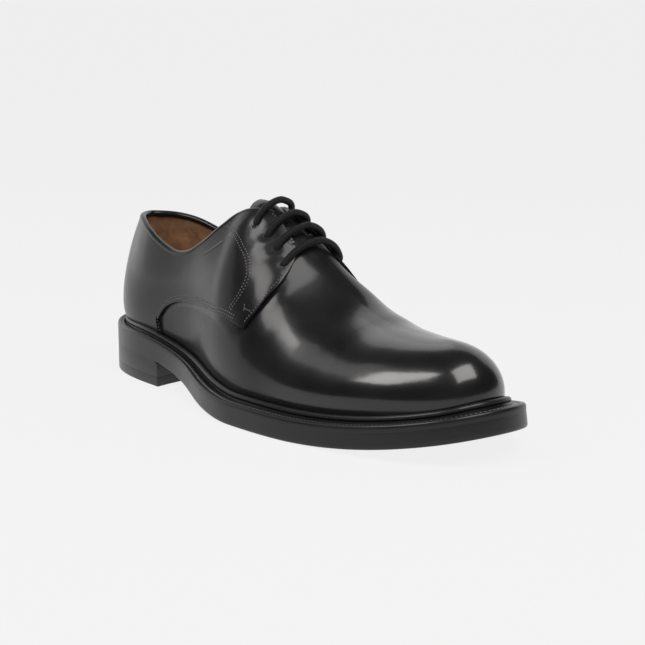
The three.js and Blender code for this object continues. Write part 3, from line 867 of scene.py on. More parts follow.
@dataclass(frozen=True)
class WaxedCord:
    """Round cotton lace, braided from sixteen strands, dyed black and waxed.

    The strands cross as small slanted cushions, and the wax gives each a dull gloss. Their tone is painted
    shade in the grooves between them and painted light on their crests.
    """

    name: str = "lace_cotton_braided_waxed"
    # Dark for the painted shade between the strands, pale for the painted light on their crests.
    dark: str = "#0b0b0c"
    pale: str = "#171718"
    strand_mm: float = 0.8
    turns: float = 8.0
    depth_mm: float = 0.3

    def build(self) -> bpy.types.Material:
        """Returns the material."""
        material, tree, out = fresh_material(self.name)
        lay = add_node(tree, "ShaderNodeUVMap", uv_map="lay")
        parts = add_node(tree, "ShaderNodeSeparateXYZ", {0: (lay, "UV")})
        along = add_node(
            tree, "ShaderNodeMath", {0: (parts, "X"), 1: 2 * math.pi / (2 * self.strand_mm * MM)},
            operation="MULTIPLY",
        )
        around = add_node(
            tree, "ShaderNodeMath", {0: (parts, "Y"), 1: 2 * math.pi * self.turns / 2}, operation="MULTIPLY"
        )
        left = add_node(tree, "ShaderNodeMath", {0: (along, "Value"), 1: (around, "Value")}, operation="ADD")
        right = add_node(
            tree, "ShaderNodeMath", {0: (along, "Value"), 1: (around, "Value")}, operation="SUBTRACT"
        )
        first = add_node(tree, "ShaderNodeMath", {0: (left, "Value")}, operation="SINE")
        second = add_node(tree, "ShaderNodeMath", {0: (right, "Value")}, operation="SINE")
        cross = add_node(
            tree, "ShaderNodeMath", {0: (first, "Value"), 1: (second, "Value")}, operation="MULTIPLY"
        )
        raised = add_node(tree, "ShaderNodeMath", {0: (cross, "Value")}, operation="ABSOLUTE")
        bump = add_node(
            tree, "ShaderNodeBump",
            {"Height": (raised, "Value"), "Distance": self.depth_mm * MM, "Strength": 1.0},
        )
        # Tone follows the braid's height: painted shade in the grooves, painted light on the crests.
        tone = add_node(
            tree, "ShaderNodeMix",
            {0: (raised, "Value"), "A": linear(self.dark), "B": linear(self.pale)}, data_type="RGBA",
        )
        shader = add_node(
            tree, "ShaderNodeBsdfPrincipled",
            {"Base Color": (tone, "Result"), "Roughness": 0.55, "Specular IOR Level": 0.25,
             "Coat Weight": 0.05, "Coat Roughness": 0.35, "Normal": (bump, "Normal")},
        )
        tree.links.new(shader.outputs[0], out.inputs[0])
        return material


@dataclass(frozen=True)
class SewingThread:
    """Waxed linen thread, or the black and matt painted shade inside a pricked hole."""

    name: str
    tone: str
    roughness: float

    def build(self) -> bpy.types.Material:
        """Returns the material, with the twist of the thread as fine noise."""
        material, tree, out = fresh_material(self.name)
        place = add_node(tree, "ShaderNodeTexCoord")
        twist = add_node(
            tree, "ShaderNodeTexNoise", {"Vector": (place, "Object"), "Scale": 1 / (0.3 * MM), "Detail": 1.0}
        )
        bump = add_node(
            tree, "ShaderNodeBump", {"Height": (twist, "Fac"), "Distance": 0.04 * MM, "Strength": 0.6}
        )
        shader = add_node(
            tree, "ShaderNodeBsdfPrincipled",
            {"Base Color": linear(self.tone), "Roughness": self.roughness, "Normal": (bump, "Normal")},
        )
        tree.links.new(shader.outputs[0], out.inputs[0])
        return material


@dataclass
class Finishes:
    """The materials of the shoe, made once."""

    calf: bpy.types.Material
    lining: bpy.types.Material
    edge: bpy.types.Material
    cord: bpy.types.Material
    thread: bpy.types.Material
    welt_thread: bpy.types.Material
    hole: bpy.types.Material

    @classmethod
    def make(cls) -> "Finishes":
        """Returns all the shoe's materials."""
        return cls(
            PolishedCalf().build(),
            SuedeLining().build(),
            DressedEdge().build(),
            WaxedCord().build(),
            SewingThread("linen_thread_charcoal", "#5d5957", 0.4).build(),
            SewingThread("linen_thread_welt_grey", "#6b6561", 0.45).build(),
            # Black and matt: the painted shade inside the awl's holes and the eyelets.
            SewingThread("awl_hole_painted_shade", "#050505", 0.9).build(),
        )


def fit(
    piece: bpy.types.Object, material: bpy.types.Material, nodes: tuple[str, ...] = ()
) -> bpy.types.Object:
    """Dresses a piece and ties it to the frame.

    Args:
        piece: The piece.
        material: Its finish.
        nodes: The CAD nodes that it stands for.

    Returns:
        The piece.
    """
    piece.data.materials.clear()
    piece.data.materials.append(material)
    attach(piece, "root")
    if nodes:
        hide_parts(*nodes)
    LOG.info("%s: %d faces", piece.name, len(piece.data.polygons))
    return piece


class Facing:
    """One quarter's patch of the last, between welt, back seam, collar and facing edge."""

    def __init__(self, side: Side, steps: int = 150) -> None:
        """Works out the patch's four edges for a side, as turns and levels on the outer half."""
        self.side = side
        column = 1 if side is Side.OUTER else 2
        lead = np.array(INNER_LEAD) * (side is Side.INNER)
        plan = np.array([
            ((row[0] + ahead) * LAST.length, row[column] * LAST.ball)
            for row, ahead in zip(FACING_EDGE, lead)
        ])
        self.bottom = self._bottom(steps)
        self.throat = self._throat(column, steps)
        self.front = self._front(plan)
        self.top = self._top(self.front[-1], steps)
        self.back = np.stack([np.zeros(steps), np.linspace(0, self.top[0, 1], steps)], -1)
        share = np.linspace(0, 1, steps)
        for name in ("bottom", "front", "top"):
            edge = getattr(self, name)
            run = lengths_along(self.off(edge, 0.0))
            even = [np.interp(share * run[-1], run, edge[:, i]) for i in range(2)]
            setattr(self, name, np.stack(even, -1))
        self.share = share

    def fold(self, place: Array) -> Array:
        """Returns turns and levels with the turns of either side as outer turns."""
        turn = np.mod(place[..., 0], 2 * np.pi)
        return np.stack([np.minimum(turn, 2 * np.pi - turn), place[..., 1]], -1)

    def _bottom(self, steps: int) -> Array:
        """Returns the lower edge, along the welt and then up over the vamp, past its front corner."""
        rows = np.array(
            [(x * LAST.length, 0.0, LAST.welt_top(np.array(x)) + h * LAST.instep) for x, h in QUARTER_FOOT]
        )
        line = spline(rows, 12)[:, [0, 2]]
        rising = self.fold(LAST.nearest(line[1:], Axes.PROFILE, self.side))
        leave = LAST.turn(QUARTER_FOOT[0][0])
        along = np.stack([np.linspace(0, leave, steps), np.zeros(steps)], -1)
        return np.vstack([along, rising])

    def _throat(self, column: int, steps: int) -> Array:
        """Returns the facing's edge along the throat, from where it leaves the collar forwards."""
        shares = np.linspace(0.432, 0.556, steps)
        turns = LAST.on_side(np.array([LAST.turn_at_spine(s) for s in shares]), self.side)
        rows = FACING_EDGE[:6]
        across = Curve(tuple(r[0] for r in rows), tuple(r[column] * LAST.ball for r in rows))
        levels = LAST.level_across(turns, across(shares), self.side)
        edge = self.fold(np.stack([turns, levels], -1))
        start = int(np.argmax(levels < LAST.topline(turns)))
        return edge[start:]

    def _front(self, plan: Array) -> Array:
        """Returns the facing's edge from the lower corner up, and cuts the lower edge to end there."""
        line = spline(plan, FACING_STEPS)
        spots = self.fold(LAST.nearest(line[-1 - FACING_STEPS * CORNER_ROWS :], Axes.PLAN, self.side))
        front = np.vstack([spots[::-1], self.throat[::-1]])
        points, foot = self.off(front, 0.0), self.off(self.bottom, 0.0)
        far = np.linalg.norm(points[:, None] - foot[None], axis=-1)
        reach = np.where(foot[:, 0] > 120, 0, 1e6)
        i, j = np.unravel_index((far + reach[None]).argmin(), far.shape)
        self.bottom = np.vstack([self.bottom[:j], front[i : i + 1]])
        return front[i:]

    def _top(self, end: Array, steps: int) -> Array:
        """Returns the collar's edge from the back seam to the facing."""
        turns = np.linspace(0, end[0], steps)
        levels = LAST.topline(LAST.on_side(turns, self.side))
        levels[-1] = end[1]
        return np.stack([turns, levels], -1)

    def place(self, u: Array, v: Array) -> Array:
        """Blends the four edges into places inside the patch.

        Args:
            u: Shares from the back seam to the facing edge.
            v: Shares from the lower edge to the collar.

        Returns:
            Outer turns and levels.
        """

        def at(edge: Array, share: Array) -> Array:
            """Returns an edge's places at shares of its length."""
            return np.stack([np.interp(share, self.share, edge[:, i]) for i in range(2)], -1)

        u3, v3 = u[..., None], v[..., None]
        base = mix(at(self.bottom, u), at(self.top, u), v3)
        bend = at(self.front, v) - mix(self.front[0], self.front[-1], v3)
        return base + u3**4 * bend

    def off(self, place: Array, out: Array) -> Array:
        """Returns points out of the last for outer turns and levels."""
        return LAST.off(LAST.on_side(place[..., 0], self.side), place[..., 1], out)

    def normal(self, place: Array) -> Array:
        """Returns the directions out of the last for outer turns and levels."""
        return LAST.normal(LAST.on_side(place[..., 0], self.side), place[..., 1])


@dataclass
class Upper:
    """The leather upper: vamp, quarters, facings, lining and rolled collar."""

    finishes: Finishes
    vamp_thickness: float = 1.0
    edge_round: float = 0.35
    quarter_out: float = 2.7
    facing_lift: float = 1.2
    far_lift: float = 0.6
    press: float = 0.4
    lift_fades: float = 8.0
    roll_radius: float = 1.85
    backing: float = 1.2
    wing_start: float = 0.2
    wing_back: float = 0.12
    wing_up: float = 0.06
    throat_opens: tuple[float, float] = (0.505, 0.556)
    throat_run: tuple[float, float] = (166.0, 184.0)
    throat_skive: float = 1.1
    lining_out: float = 0.7
    lining_thickness: float = 0.7
    lining_below_throat: float = 0.12

    VAMP_CREASES = (
        Crease((206, -40, 40), (206, 38, 48), 13, -0.22),
        Crease((186, -30, 62), (192, -44, 40), 7, 0.25),
        Crease((194, 22, 60), (214, 22, 52), 14, 1.5),
    )
    QUARTER_CREASES = (
        Crease((146, -21, 98), (150, -16, 98), 3.2, 0.35),
        Crease((155, -20.5, 92), (157, -15, 93), 3.6, -0.25),
        Crease((158, -24, 86), (163, -16, 87), 3.8, 0.4),
        Crease((162, -25, 80), (168, -17, 81), 3.8, 0.35),
    )

    def __post_init__(self) -> None:
        """Works out both quarters' patches."""
        self.facings = {side: Facing(side) for side in Side}

    def build(self) -> None:
        """Builds every piece of the upper."""
        self.vamp()
        for side in Side:
            self.quarter(side)
            self.facing_lining(side)
        self.lining()
        self.binding()

    def vamp(self) -> None:
        """Builds the vamp, whose rear wings run under the quarters."""
        start = float(LAST.turn(self.wing_start))
        turns = np.linspace(start, 2 * np.pi - start, 441)
        share = LAST.share(turns)
        folded = np.minimum(turns, 2 * np.pi - turns)
        foot = self.facings[Side.OUTER].bottom
        hidden = np.interp(folded + self.wing_back, foot[:, 0], foot[:, 1]) + self.wing_up
        reach = mix(hidden, 1.0, smoothstep(share, *self.throat_opens))
        levels = np.linspace(0, 1, 91)
        turn, level = np.broadcast_arrays(turns[:, None], levels[None] * reach[:, None])
        points = LAST.surface(turn, level)
        throat = (1 - smoothstep(points[..., 0], *self.throat_run)) * smoothstep(level, 0.8, 0.93)
        out = LAST.wall - self.throat_skive * throat
        out = out + pushed(self.VAMP_CREASES, points) - self.groove(points)
        grid = points + LAST.normal(turn, level) * out[..., None]
        piece = grid_piece("vamp", LAST.placed(grid))
        merge_points(piece, 2e-6)
        thicken(piece, self.vamp_thickness, 0.25)
        fit(piece, self.finishes.calf, ("upper",))

    def groove(self, points: Array) -> Array:
        """Returns how far the quarters' edges press the vamp in beside them."""
        depth = np.zeros(points.shape[:-1])
        for side, facing in self.facings.items():
            edge = facing.off(np.vstack([facing.bottom[70:], facing.front[:60]]), 0.0)[::2]
            mine = points[..., 1] < 10 if side is Side.OUTER else points[..., 1] > -10
            flat = points[mine]
            away = np.min(np.linalg.norm(flat[:, None] - edge[None], axis=-1), axis=1)
            depth[mine] = np.maximum(depth[mine], self.press * np.exp(-((away / 2.6) ** 2)))
        return depth

    def lift(self, side: Side, points: Array) -> Array:
        """Returns how far a facing stands off the vamp near its front edge."""
        facing = self.facings[side]
        edge = facing.off(facing.front, 0.0)
        flat = points.reshape(-1, 3)
        away = np.min(np.linalg.norm(flat[:, None] - edge[None, ::3], axis=-1), axis=1)
        most = self.facing_lift if side is Side.OUTER else self.far_lift
        low, high = (46.0, 76.0) if side is Side.OUTER else (40.0, 54.0)
        height = 0.2 + 0.8 * smoothstep(flat[:, 2], low, high)
        height = height * (1 - 0.6 * smoothstep(flat[:, 2], 97.0, 104.0))
        return (most * height * np.exp(-((away / self.lift_fades) ** 2))).reshape(points.shape[:-1])

    def sheet(self, side: Side, u: Array, v: Array, out: float) -> Array:
        """Returns a quarter's points at shares of its patch."""
        facing = self.facings[side]
        u, v = np.broadcast_arrays(u[:, None], v[None])
        place = facing.place(u, v)
        points = facing.off(place, 0.0)
        push = self.raised(side, points, out) + self.holes(side, points)
        return points + facing.normal(place) * push[..., None]

    def raised(self, side: Side, points: Array, out: float) -> Array:
        """Returns how far a quarter stands out of the last, with its lift and creases."""
        mirrored = points * np.array([1, -side.value, 1])
        return out + self.lift(side, points) + pushed(self.QUARTER_CREASES, mirrored)

    def holes(self, side: Side, points: Array) -> Array:
        """Returns how far the leather sinks round the eyelets."""
        sink = np.zeros(points.shape[:-1])
        for along in EYELETS:
            turn, level = eyelet_place(along, side)
            away = np.linalg.norm(points - LAST.surface(turn, level), axis=-1)
            sink -= 0.35 * np.exp(-((away / 3.0) ** 2))
        return sink

    def panel(self, kind: str, side: Side, grid: Array, thickness: float, rounding: float) -> None:
        """Builds a leather panel of one side from its outer face."""
        piece = grid_piece(f"{kind}_{side.name.lower()}", LAST.placed(grid), flip=side is Side.INNER)
        thicken(piece, thickness, rounding)
        fit(piece, self.finishes.calf, ("upper",))

    def quarter(self, side: Side) -> None:
        """Builds a quarter with its open facing."""
        grid = self.sheet(side, np.linspace(0, 1, 231), np.linspace(0, 1, 91), self.quarter_out)
        self.panel("quarter", side, grid, LAST.quarter, self.edge_round)

    def facing_lining(self, side: Side) -> None:
        """Builds the leather that backs a facing under its edge."""
        u, v = np.linspace(0.78, 0.996, 61), np.linspace(0.02, 0.995, 81)
        grid = self.sheet(side, u, v, self.quarter_out - LAST.quarter - 0.05)
        self.panel("facing_lining", side, grid, self.backing, 0.3)

    def lining(self) -> None:
        """Builds the lining of quarters and vamp, with its distance below the collar as an attribute."""
        turns = np.linspace(0, 2 * np.pi, 361)[:-1]
        share = LAST.share(turns)
        folded = np.minimum(turns, 2 * np.pi - turns)
        top = np.ones_like(turns)
        for side in Side:
            facing = self.facings[side]
            mine = turns <= np.pi if side is Side.OUTER else turns > np.pi
            collar = np.interp(folded, facing.top[:, 0], facing.top[:, 1])
            front = np.interp(folded, facing.throat[:, 0], facing.throat[:, 1] - self.lining_below_throat)
            level = np.where(folded < facing.top[-1, 0], collar, front)
            level = mix(level, 1.0, smoothstep(share, 0.6, 0.62))
            level = np.where((share > 0.553) & (share < 0.61), np.minimum(level, 0.72), level)
            top = np.where(mine, level, top)
        levels = np.linspace(0, 1, 81)
        turn, level = np.broadcast_arrays(turns[:, None], levels[None] * top[:, None])
        grid = LAST.off(turn, level, self.lining_out)
        foot = grid[:, :1] - np.array([0, 0, 2.5])
        grid = np.concatenate([foot, grid], 1)
        piece = grid_piece("lining", LAST.placed(grid), wrap=True)
        run = np.concatenate(
            [np.cumsum(np.linalg.norm(np.diff(grid[:, ::-1], axis=1), axis=-1), axis=1)], 1
        )
        drop = np.concatenate([np.zeros((len(turns), 1)), run], 1)[:, ::-1]
        drop = np.where((share < 0.47)[:, None], drop, 20.0)
        mark = piece.data.attributes.new("drop", "FLOAT", "POINT")
        mark.data.foreach_set("value", drop.ravel())
        merge_points(piece, 2e-6)
        thicken(piece, self.lining_thickness, 0.15)
        fit(piece, self.finishes.lining, ("upper",))

    def collar_path(self, drop: float, out: float, count: int = 420) -> Array:
        """Returns points along the collar, from the outer facing round the heel to the inner one."""
        ends = [self.facings[side].top[-1, 0] for side in Side]
        turns = np.linspace(ends[0], -ends[1], count)
        levels = LAST.topline(np.mod(turns, 2 * np.pi))
        points = LAST.off(np.mod(turns, 2 * np.pi), levels, out)
        return points - np.array([0, 0, drop])

    def binding(self) -> None:
        """Builds the rolled leather binding over the collar's edge."""
        path = self.collar_path(0.45, (LAST.wall + LAST.quarter) / 2)
        radius = np.full(len(path), self.roll_radius * MM)
        piece = tube_piece("collar_binding", LAST.placed(path), radius, 16)
        fit(piece, self.finishes.calf, ("upper",))


@lru_cache(maxsize=None)
def eyelet_place(along: float, side: Side) -> tuple[float, float]:
    """Returns the turn and level of an eyelet, set back from its facing's edge along the leather."""
    column, inset = (1, 10.0) if side is Side.OUTER else (2, 4.6)
    rows = FACING_EDGE[:8]
    edge = float(Curve(tuple(r[0] for r in rows), tuple(r[column] * LAST.ball for r in rows))(along))
    turn = LAST.on_side(np.array([LAST.turn_at_spine(along)]), side)
    top = LAST.level_across(turn, np.array([edge]), side)[0]
    levels = np.linspace(top, top - 0.45, 90)
    run = lengths_along(LAST.surface(np.full(90, turn[0]), levels))
    return float(turn[0]), float(np.interp(inset, run, levels))


@dataclass
class Tongue:
    """The tongue under the facings."""

    finishes: Finishes
    width: float = 34.0
    thickness: float = 2.0
    free_rise: float = 0.7

    def build(self) -> None:
        """Builds the tongue as a sheet that runs in under the vamp."""
        shares = np.linspace(TONGUE_EDGE[0][0], 0.6, 100)
        turns = np.array([LAST.turn_at_spine(s) for s in shares])
        middle = columns(TONGUE_EDGE, 0, 1)(shares) * LAST.ball
        away = columns(TONGUE_EDGE, 0, 2)(shares) * self.width
        rise = self.free_rise * (1 - smoothstep(shares, shares[0] + 0.01, shares[0] + 0.06))
        halves = []
        for side in Side:
            own = LAST.on_side(turns, side)
            low = LAST.level_across(own, middle + side.value * away, side)
            levels = mix(low[:, None], 1.0, np.linspace(0, 1, 24)[None])
            turn = np.broadcast_to(own[:, None], levels.shape)
            halves.append(LAST.off(turn, levels, rise[:, None] - LAST.clearance))
        outer, inner = halves
        piece = grid_piece("tongue_sheet", LAST.placed(np.concatenate([outer, inner[:, ::-1][:, 1:]], 1)))
        thicken(piece, self.thickness, 0.7)
        fit(piece, self.finishes.calf, ("tongue",))


@dataclass
class Eyelets:
    """The blind eyelets: holes punched through both layers, each with a black disc of painted shade and a
    pressed edge.
    """

    finishes: Finishes
    upper: Upper
    wide: float = 2.0
    tall: float = 2.45

    def build(self) -> None:
        """Builds every hole's black disc of painted shade and its edge."""
        hole_shades, edges = [], []
        for side in Side:
            for along in EYELETS:
                turn, level = eyelet_place(along, side)
                normal = LAST.normal(np.array([turn]), np.array([level]))[0]
                across = unit(LAST.surface(turn, min(level + 0.02, 1)) - LAST.surface(turn, level))
                spot = LAST.surface(np.array([turn]), np.array([level]))
                lift = self.upper.lift(side, spot)[0] + self.upper.holes(side, spot)[0]
                heart = spot[0] + normal * (self.upper.quarter_out + lift - 0.02)
                # A flat black disc just under the edge: painted shade inside the hole.
                hole_shades.append(self.ring(heart - normal * 0.1, normal, across, edge=False))
                edges.append(self.ring(heart, normal, across, edge=True))
        for name, parts, finish in (
            ("eyelet_hole_shades", hole_shades, self.finishes.hole), ("eyelet_edges", edges, self.finishes.calf)
        ):
            fit(joined(name, parts), finish)

    def ring(self, heart: Array, normal: Array, across: Array, edge: bool) -> bpy.types.Object:
        """Returns the rounded edge of a hole, or the flat black disc of painted shade in its mouth, as a new
        object.
        """
        deselect_all()
        if edge:
            bpy.ops.mesh.primitive_torus_add(
                major_segments=32, minor_segments=10, major_radius=1.02 * MM, minor_radius=0.13 * MM
            )
        else:
            bpy.ops.mesh.primitive_uv_sphere_add(segments=28, ring_count=10, radius=1.0 * MM)
        part = bpy.context.object
        side = unit(np.cross(normal, across))
        for vertex in part.data.vertices:
            x, y, z = vertex.co
            flat = z if edge else z * 0.14
            place = across * x * self.tall + side * y * self.wide + normal * flat
            vertex.co = LAST.placed(heart) + place
        bpy.ops.object.shade_smooth()
        return part


@dataclass
class Laces:
    """Four straight bars of round lace, each through a blind eyelet on both sides."""

    finishes: Finishes
    radius: float = 1.8
    over: float = 4.9
    end_depth: float = 3.4

    def build(self) -> None:
        """Builds every bar with its ends run down through the eyelets."""
        for number, along in enumerate(EYELETS, 1):
            path = self.path(along)
            piece = tube_piece(
                f"lace_run_{number}", LAST.placed(path), np.full(len(path), self.radius * MM), 16
            )
            fit(piece, self.finishes.cord, (f"lace_bar_{number}",))

    def path(self, along: float) -> Array:
        """Returns the line of one bar, from inside the outer facing to inside the inner one."""
        halves = []
        for side in Side:
            turn, level = eyelet_place(along, side)
            lift = 0.0 if side is Side.OUTER else 0.2
            back = np.array([
                (level - 0.02, -self.end_depth), (level - 0.012, -1.2), (level, 1.2 + lift),
                (level + 0.02, 3.6 + lift),
            ])
            shares = np.array([0.3, 0.55, 0.8, 1.0])
            over = np.stack([mix(level, 1.0, shares), self.over + 0.35 * shares], -1)
            rows = np.vstack([back, over])
            halves.append(LAST.off(np.full(len(rows), turn), rows[:, 0], rows[:, 1]))
        outer, inner = halves
        return resample(spline(np.vstack([outer, inner[::-1][1:]]), 10), np.linspace(0, 1, 120))


@dataclass
class Bottom:
    """Welt, outsole, heel and insole."""

    finishes: Finishes
    rounds: int = 480
    welt_thickness: float = 3.5
    outsole_thickness: float = 8.2
    flare: float = 0.8
    bead_radius: float = 1.55
    breast: float = 0.255
    hollow: float = 4.5
    top_piece: float = 5.2

    def build(self) -> None:
        """Builds the bottom's pieces."""
        self.welt()
        self.outsole()
        self.heel()
        self.insole()

    def swept(self, turns: Array, across: Array, height: Array) -> Array:
        """Returns the outline's rings at distances inwards and heights over the welt's rim."""
        rings = []
        for inward, up in zip(np.moveaxis(across, -1, 0), np.moveaxis(height, -1, 0)):
            plan = LAST.inside(turns, inward)
            rings.append(np.concatenate([plan, (LAST.welt_top(LAST.share(turns)) + up)[:, None]], 1))
        return np.stack(rings, 1)

    def welt(self) -> None:
        """Builds the storm welt: side, lip, stitch groove, channel and bead."""
        turns = np.linspace(0, 2 * np.pi, self.rounds, endpoint=False)
        width = LAST.welt_width(LAST.share(turns))[:, None]
        rim = np.array([
            (0, -3.5), (0, -2.6), (0.05, -1.7), (0.18, -1.0), (0.42, -0.45), (0.75, -0.1), (1.15, 0.05),
            (1.6, 0.04), (2.3, 0.0), (2.8, -0.12), (3.1, -0.5), (3.5, -0.75), (4.0, -0.7), (4.4, -0.42),
            (4.9, -0.36), (5.5, -0.45), (6.0, -0.95), (6.5, -1.9), (7.1, -2.3),
        ])
        scale = width / LAST.welt_ball
        angles = np.radians(np.linspace(228, 10, 18))
        bead_x = self.bead_radius * np.cos(angles) + self.bead_radius
        bead_z = self.bead_radius * np.sin(angles) + 1.3
        tail = np.array([(3.3, 1.0), (3.5, -1.0), (3.5, -3.5)])
        across = np.concatenate(
            [rim[None, :, 0] * scale, width + bead_x[None], width + tail[None, :, 0]], 1
        )
        height = np.concatenate(
            [np.repeat(part[None], len(turns), 0) for part in (rim[:, 1], bead_z, tail[:, 1])], 1
        )
        rings = self.swept(turns, across, height)
        grid = np.concatenate([rings, rings[:, :1]], 1)
        piece = grid_piece("storm_welt", LAST.placed(grid), wrap=True)
        seal(piece, 45)
        fit(piece, self.finishes.edge, ("welt",))

    def outsole(self) -> None:
        """Builds the sole with its flared and rounded edge."""
        turns = np.linspace(0, 2 * np.pi, self.rounds, endpoint=False)
        share = LAST.share(turns)
        toe = (self.flare * smoothstep(share, 0.6, 0.97))[:, None]
        top, bottom = -self.welt_thickness, -LAST.bottom
        rows = np.array([
            (3.0, top, 0), (0, top, 0), (0, top - 0.8, 0.15), (0, top - 3.0, 0.5), (0, top - 5.5, 0.85),
            (0, bottom + 1.5, 1.0), (0.12, bottom + 0.9, 1.0), (0.4, bottom + 0.42, 1.0),
            (0.9, bottom + 0.12, 1.0), (1.5, bottom, 1.0), (3.0, bottom, 1.0),
        ])
        free = smoothstep(share, self.breast - 0.015, self.breast + 0.005)[:, None]
        rounded = np.where((rows[:, 0] > 0.05) & (rows[:, 0] < 2.9), rows[:, 0], 0.0)[None]
        across = rows[None, :, 0] - rounded * (1 - free)
        across = across - toe * rows[None, :, 2] * np.where(rows[:, 0] > 2.9, 0, 1)[None]
        height = np.repeat(rows[None, :, 1], len(turns), 0)
        rings = self.swept(turns, across, height)
        count = len(rows)
        points = [rings.reshape(-1, 3)]
        faces = grid_faces(self.rounds, count, wrap=True)
        for column, flip in ((0, True), (count - 1, False)):
            faces += self.cap(rings[:, column], points, flip)
        piece = mesh_piece("sole_unit", LAST.placed(np.vstack(points)), faces)
        seal(piece, 50)
        fit(piece, self.finishes.edge, ("outsole",))

    def cap(self, ring: Array, points: list[Array], flip: bool) -> list[tuple[int, ...]]:
        """Adds the points of a ring's cap and returns its faces."""
        half = self.rounds // 2
        outer = ring[: half + 1]
        inner = ring[[(-i) % self.rounds for i in range(half + 1)]]
        share = np.linspace(0, 1, 13)[None, :, None]
        grid = mix(outer[:, None], inner[:, None], share)
        start = sum(len(block) for block in points)
        points.append(grid.reshape(-1, 3))
        return grid_faces(half + 1, 13, start=start, flip=flip)

    def heel_grid(self) -> Array:
        """Returns the heel's plan as a grid of points, with its hollow breast."""
        reach = float(LAST.turn(self.breast))
        turns = np.linspace(0, reach, 61)
        inset = np.full(len(turns), 0.02)
        outer = LAST.inside(turns, inset)
        inner = LAST.inside(2 * np.pi - turns, inset)
        share = np.linspace(0, 1, 33)[None, :, None]
        grid = mix(outer[:, None], inner[:, None], share)
        pull = (LAST.share(turns) / self.breast)[:, None] ** 2
        grid[..., 0] -= 4 * self.hollow * share[..., 0] * (1 - share[..., 0]) * pull
        return grid

    def lift(self, name: str, bottom: Array, top: Array, rounding: float, node: str) -> None:
        """Builds a lift of the heel by extruding its plan upwards."""
        plan = self.heel_grid()
        low = np.concatenate([plan, np.broadcast_to(bottom, plan.shape[:2])[..., None]], -1)
        piece = grid_piece(name, LAST.placed(low), flip=True)
        merge_points(piece)
        raised = 0.05
        edit_all(piece, bpy.ops.mesh.extrude_region_move, TRANSFORM_OT_translate={"value": (0, 0, raised)})
        heights = top(plan[..., 0].ravel() / LAST.length)
        spots = plan.reshape(-1, 2)
        for vertex in piece.data.vertices:
            if vertex.co.z > 0.9 * raised:
                here = np.array([vertex.co.x / MM + LAST.centre[0], vertex.co.y / MM + LAST.centre[1]])
                vertex.co.z = heights[np.abs(spots - here).sum(1).argmin()] * MM
        outward(piece)
        round_edges(piece, rounding, 3)
        fit(piece, self.finishes.edge, (node,))

    def heel(self) -> None:
        """Builds the heel's block and its top piece."""
        low = np.array(self.top_piece + 0.12)
        self.lift("heel_stack", low, lambda s: LAST.underside(s) + 0.02, 0.04, "heel_block")
        self.lift(
            "heel_tread", np.array(0.0), lambda s: np.full(s.shape, self.top_piece), 0.5, "heel_top_piece"
        )

    def insole(self) -> None:
        """Builds the sock that covers the insole."""
        turns = np.linspace(0, np.pi, 161)
        inset = LAST.feather(LAST.share(turns)) + 0.35
        outer = LAST.inside(turns, inset)
        inner = LAST.inside(2 * np.pi - turns, inset)
        share = np.linspace(0, 1, 41)[None, :, None]
        plan = mix(outer[:, None], inner[:, None], share)
        along = np.clip(plan[..., 0] / LAST.length, 0, 1)
        cup = 1.2 * (2 * share[..., 0] - 1) ** 4
        height = LAST.underside(along) + self.outsole_thickness + 3.0 + cup
        grid = np.concatenate([plan, height[..., None]], -1)
        piece = grid_piece("insole_sock", LAST.placed(grid))
        mark = piece.data.attributes.new("drop", "FLOAT", "POINT")
        mark.data.foreach_set("value", np.full(len(piece.data.vertices), 40.0))
        merge_points(piece)
        thicken(piece, 2.8, 0.3)
        fit(piece, self.finishes.lining, ("insole",))


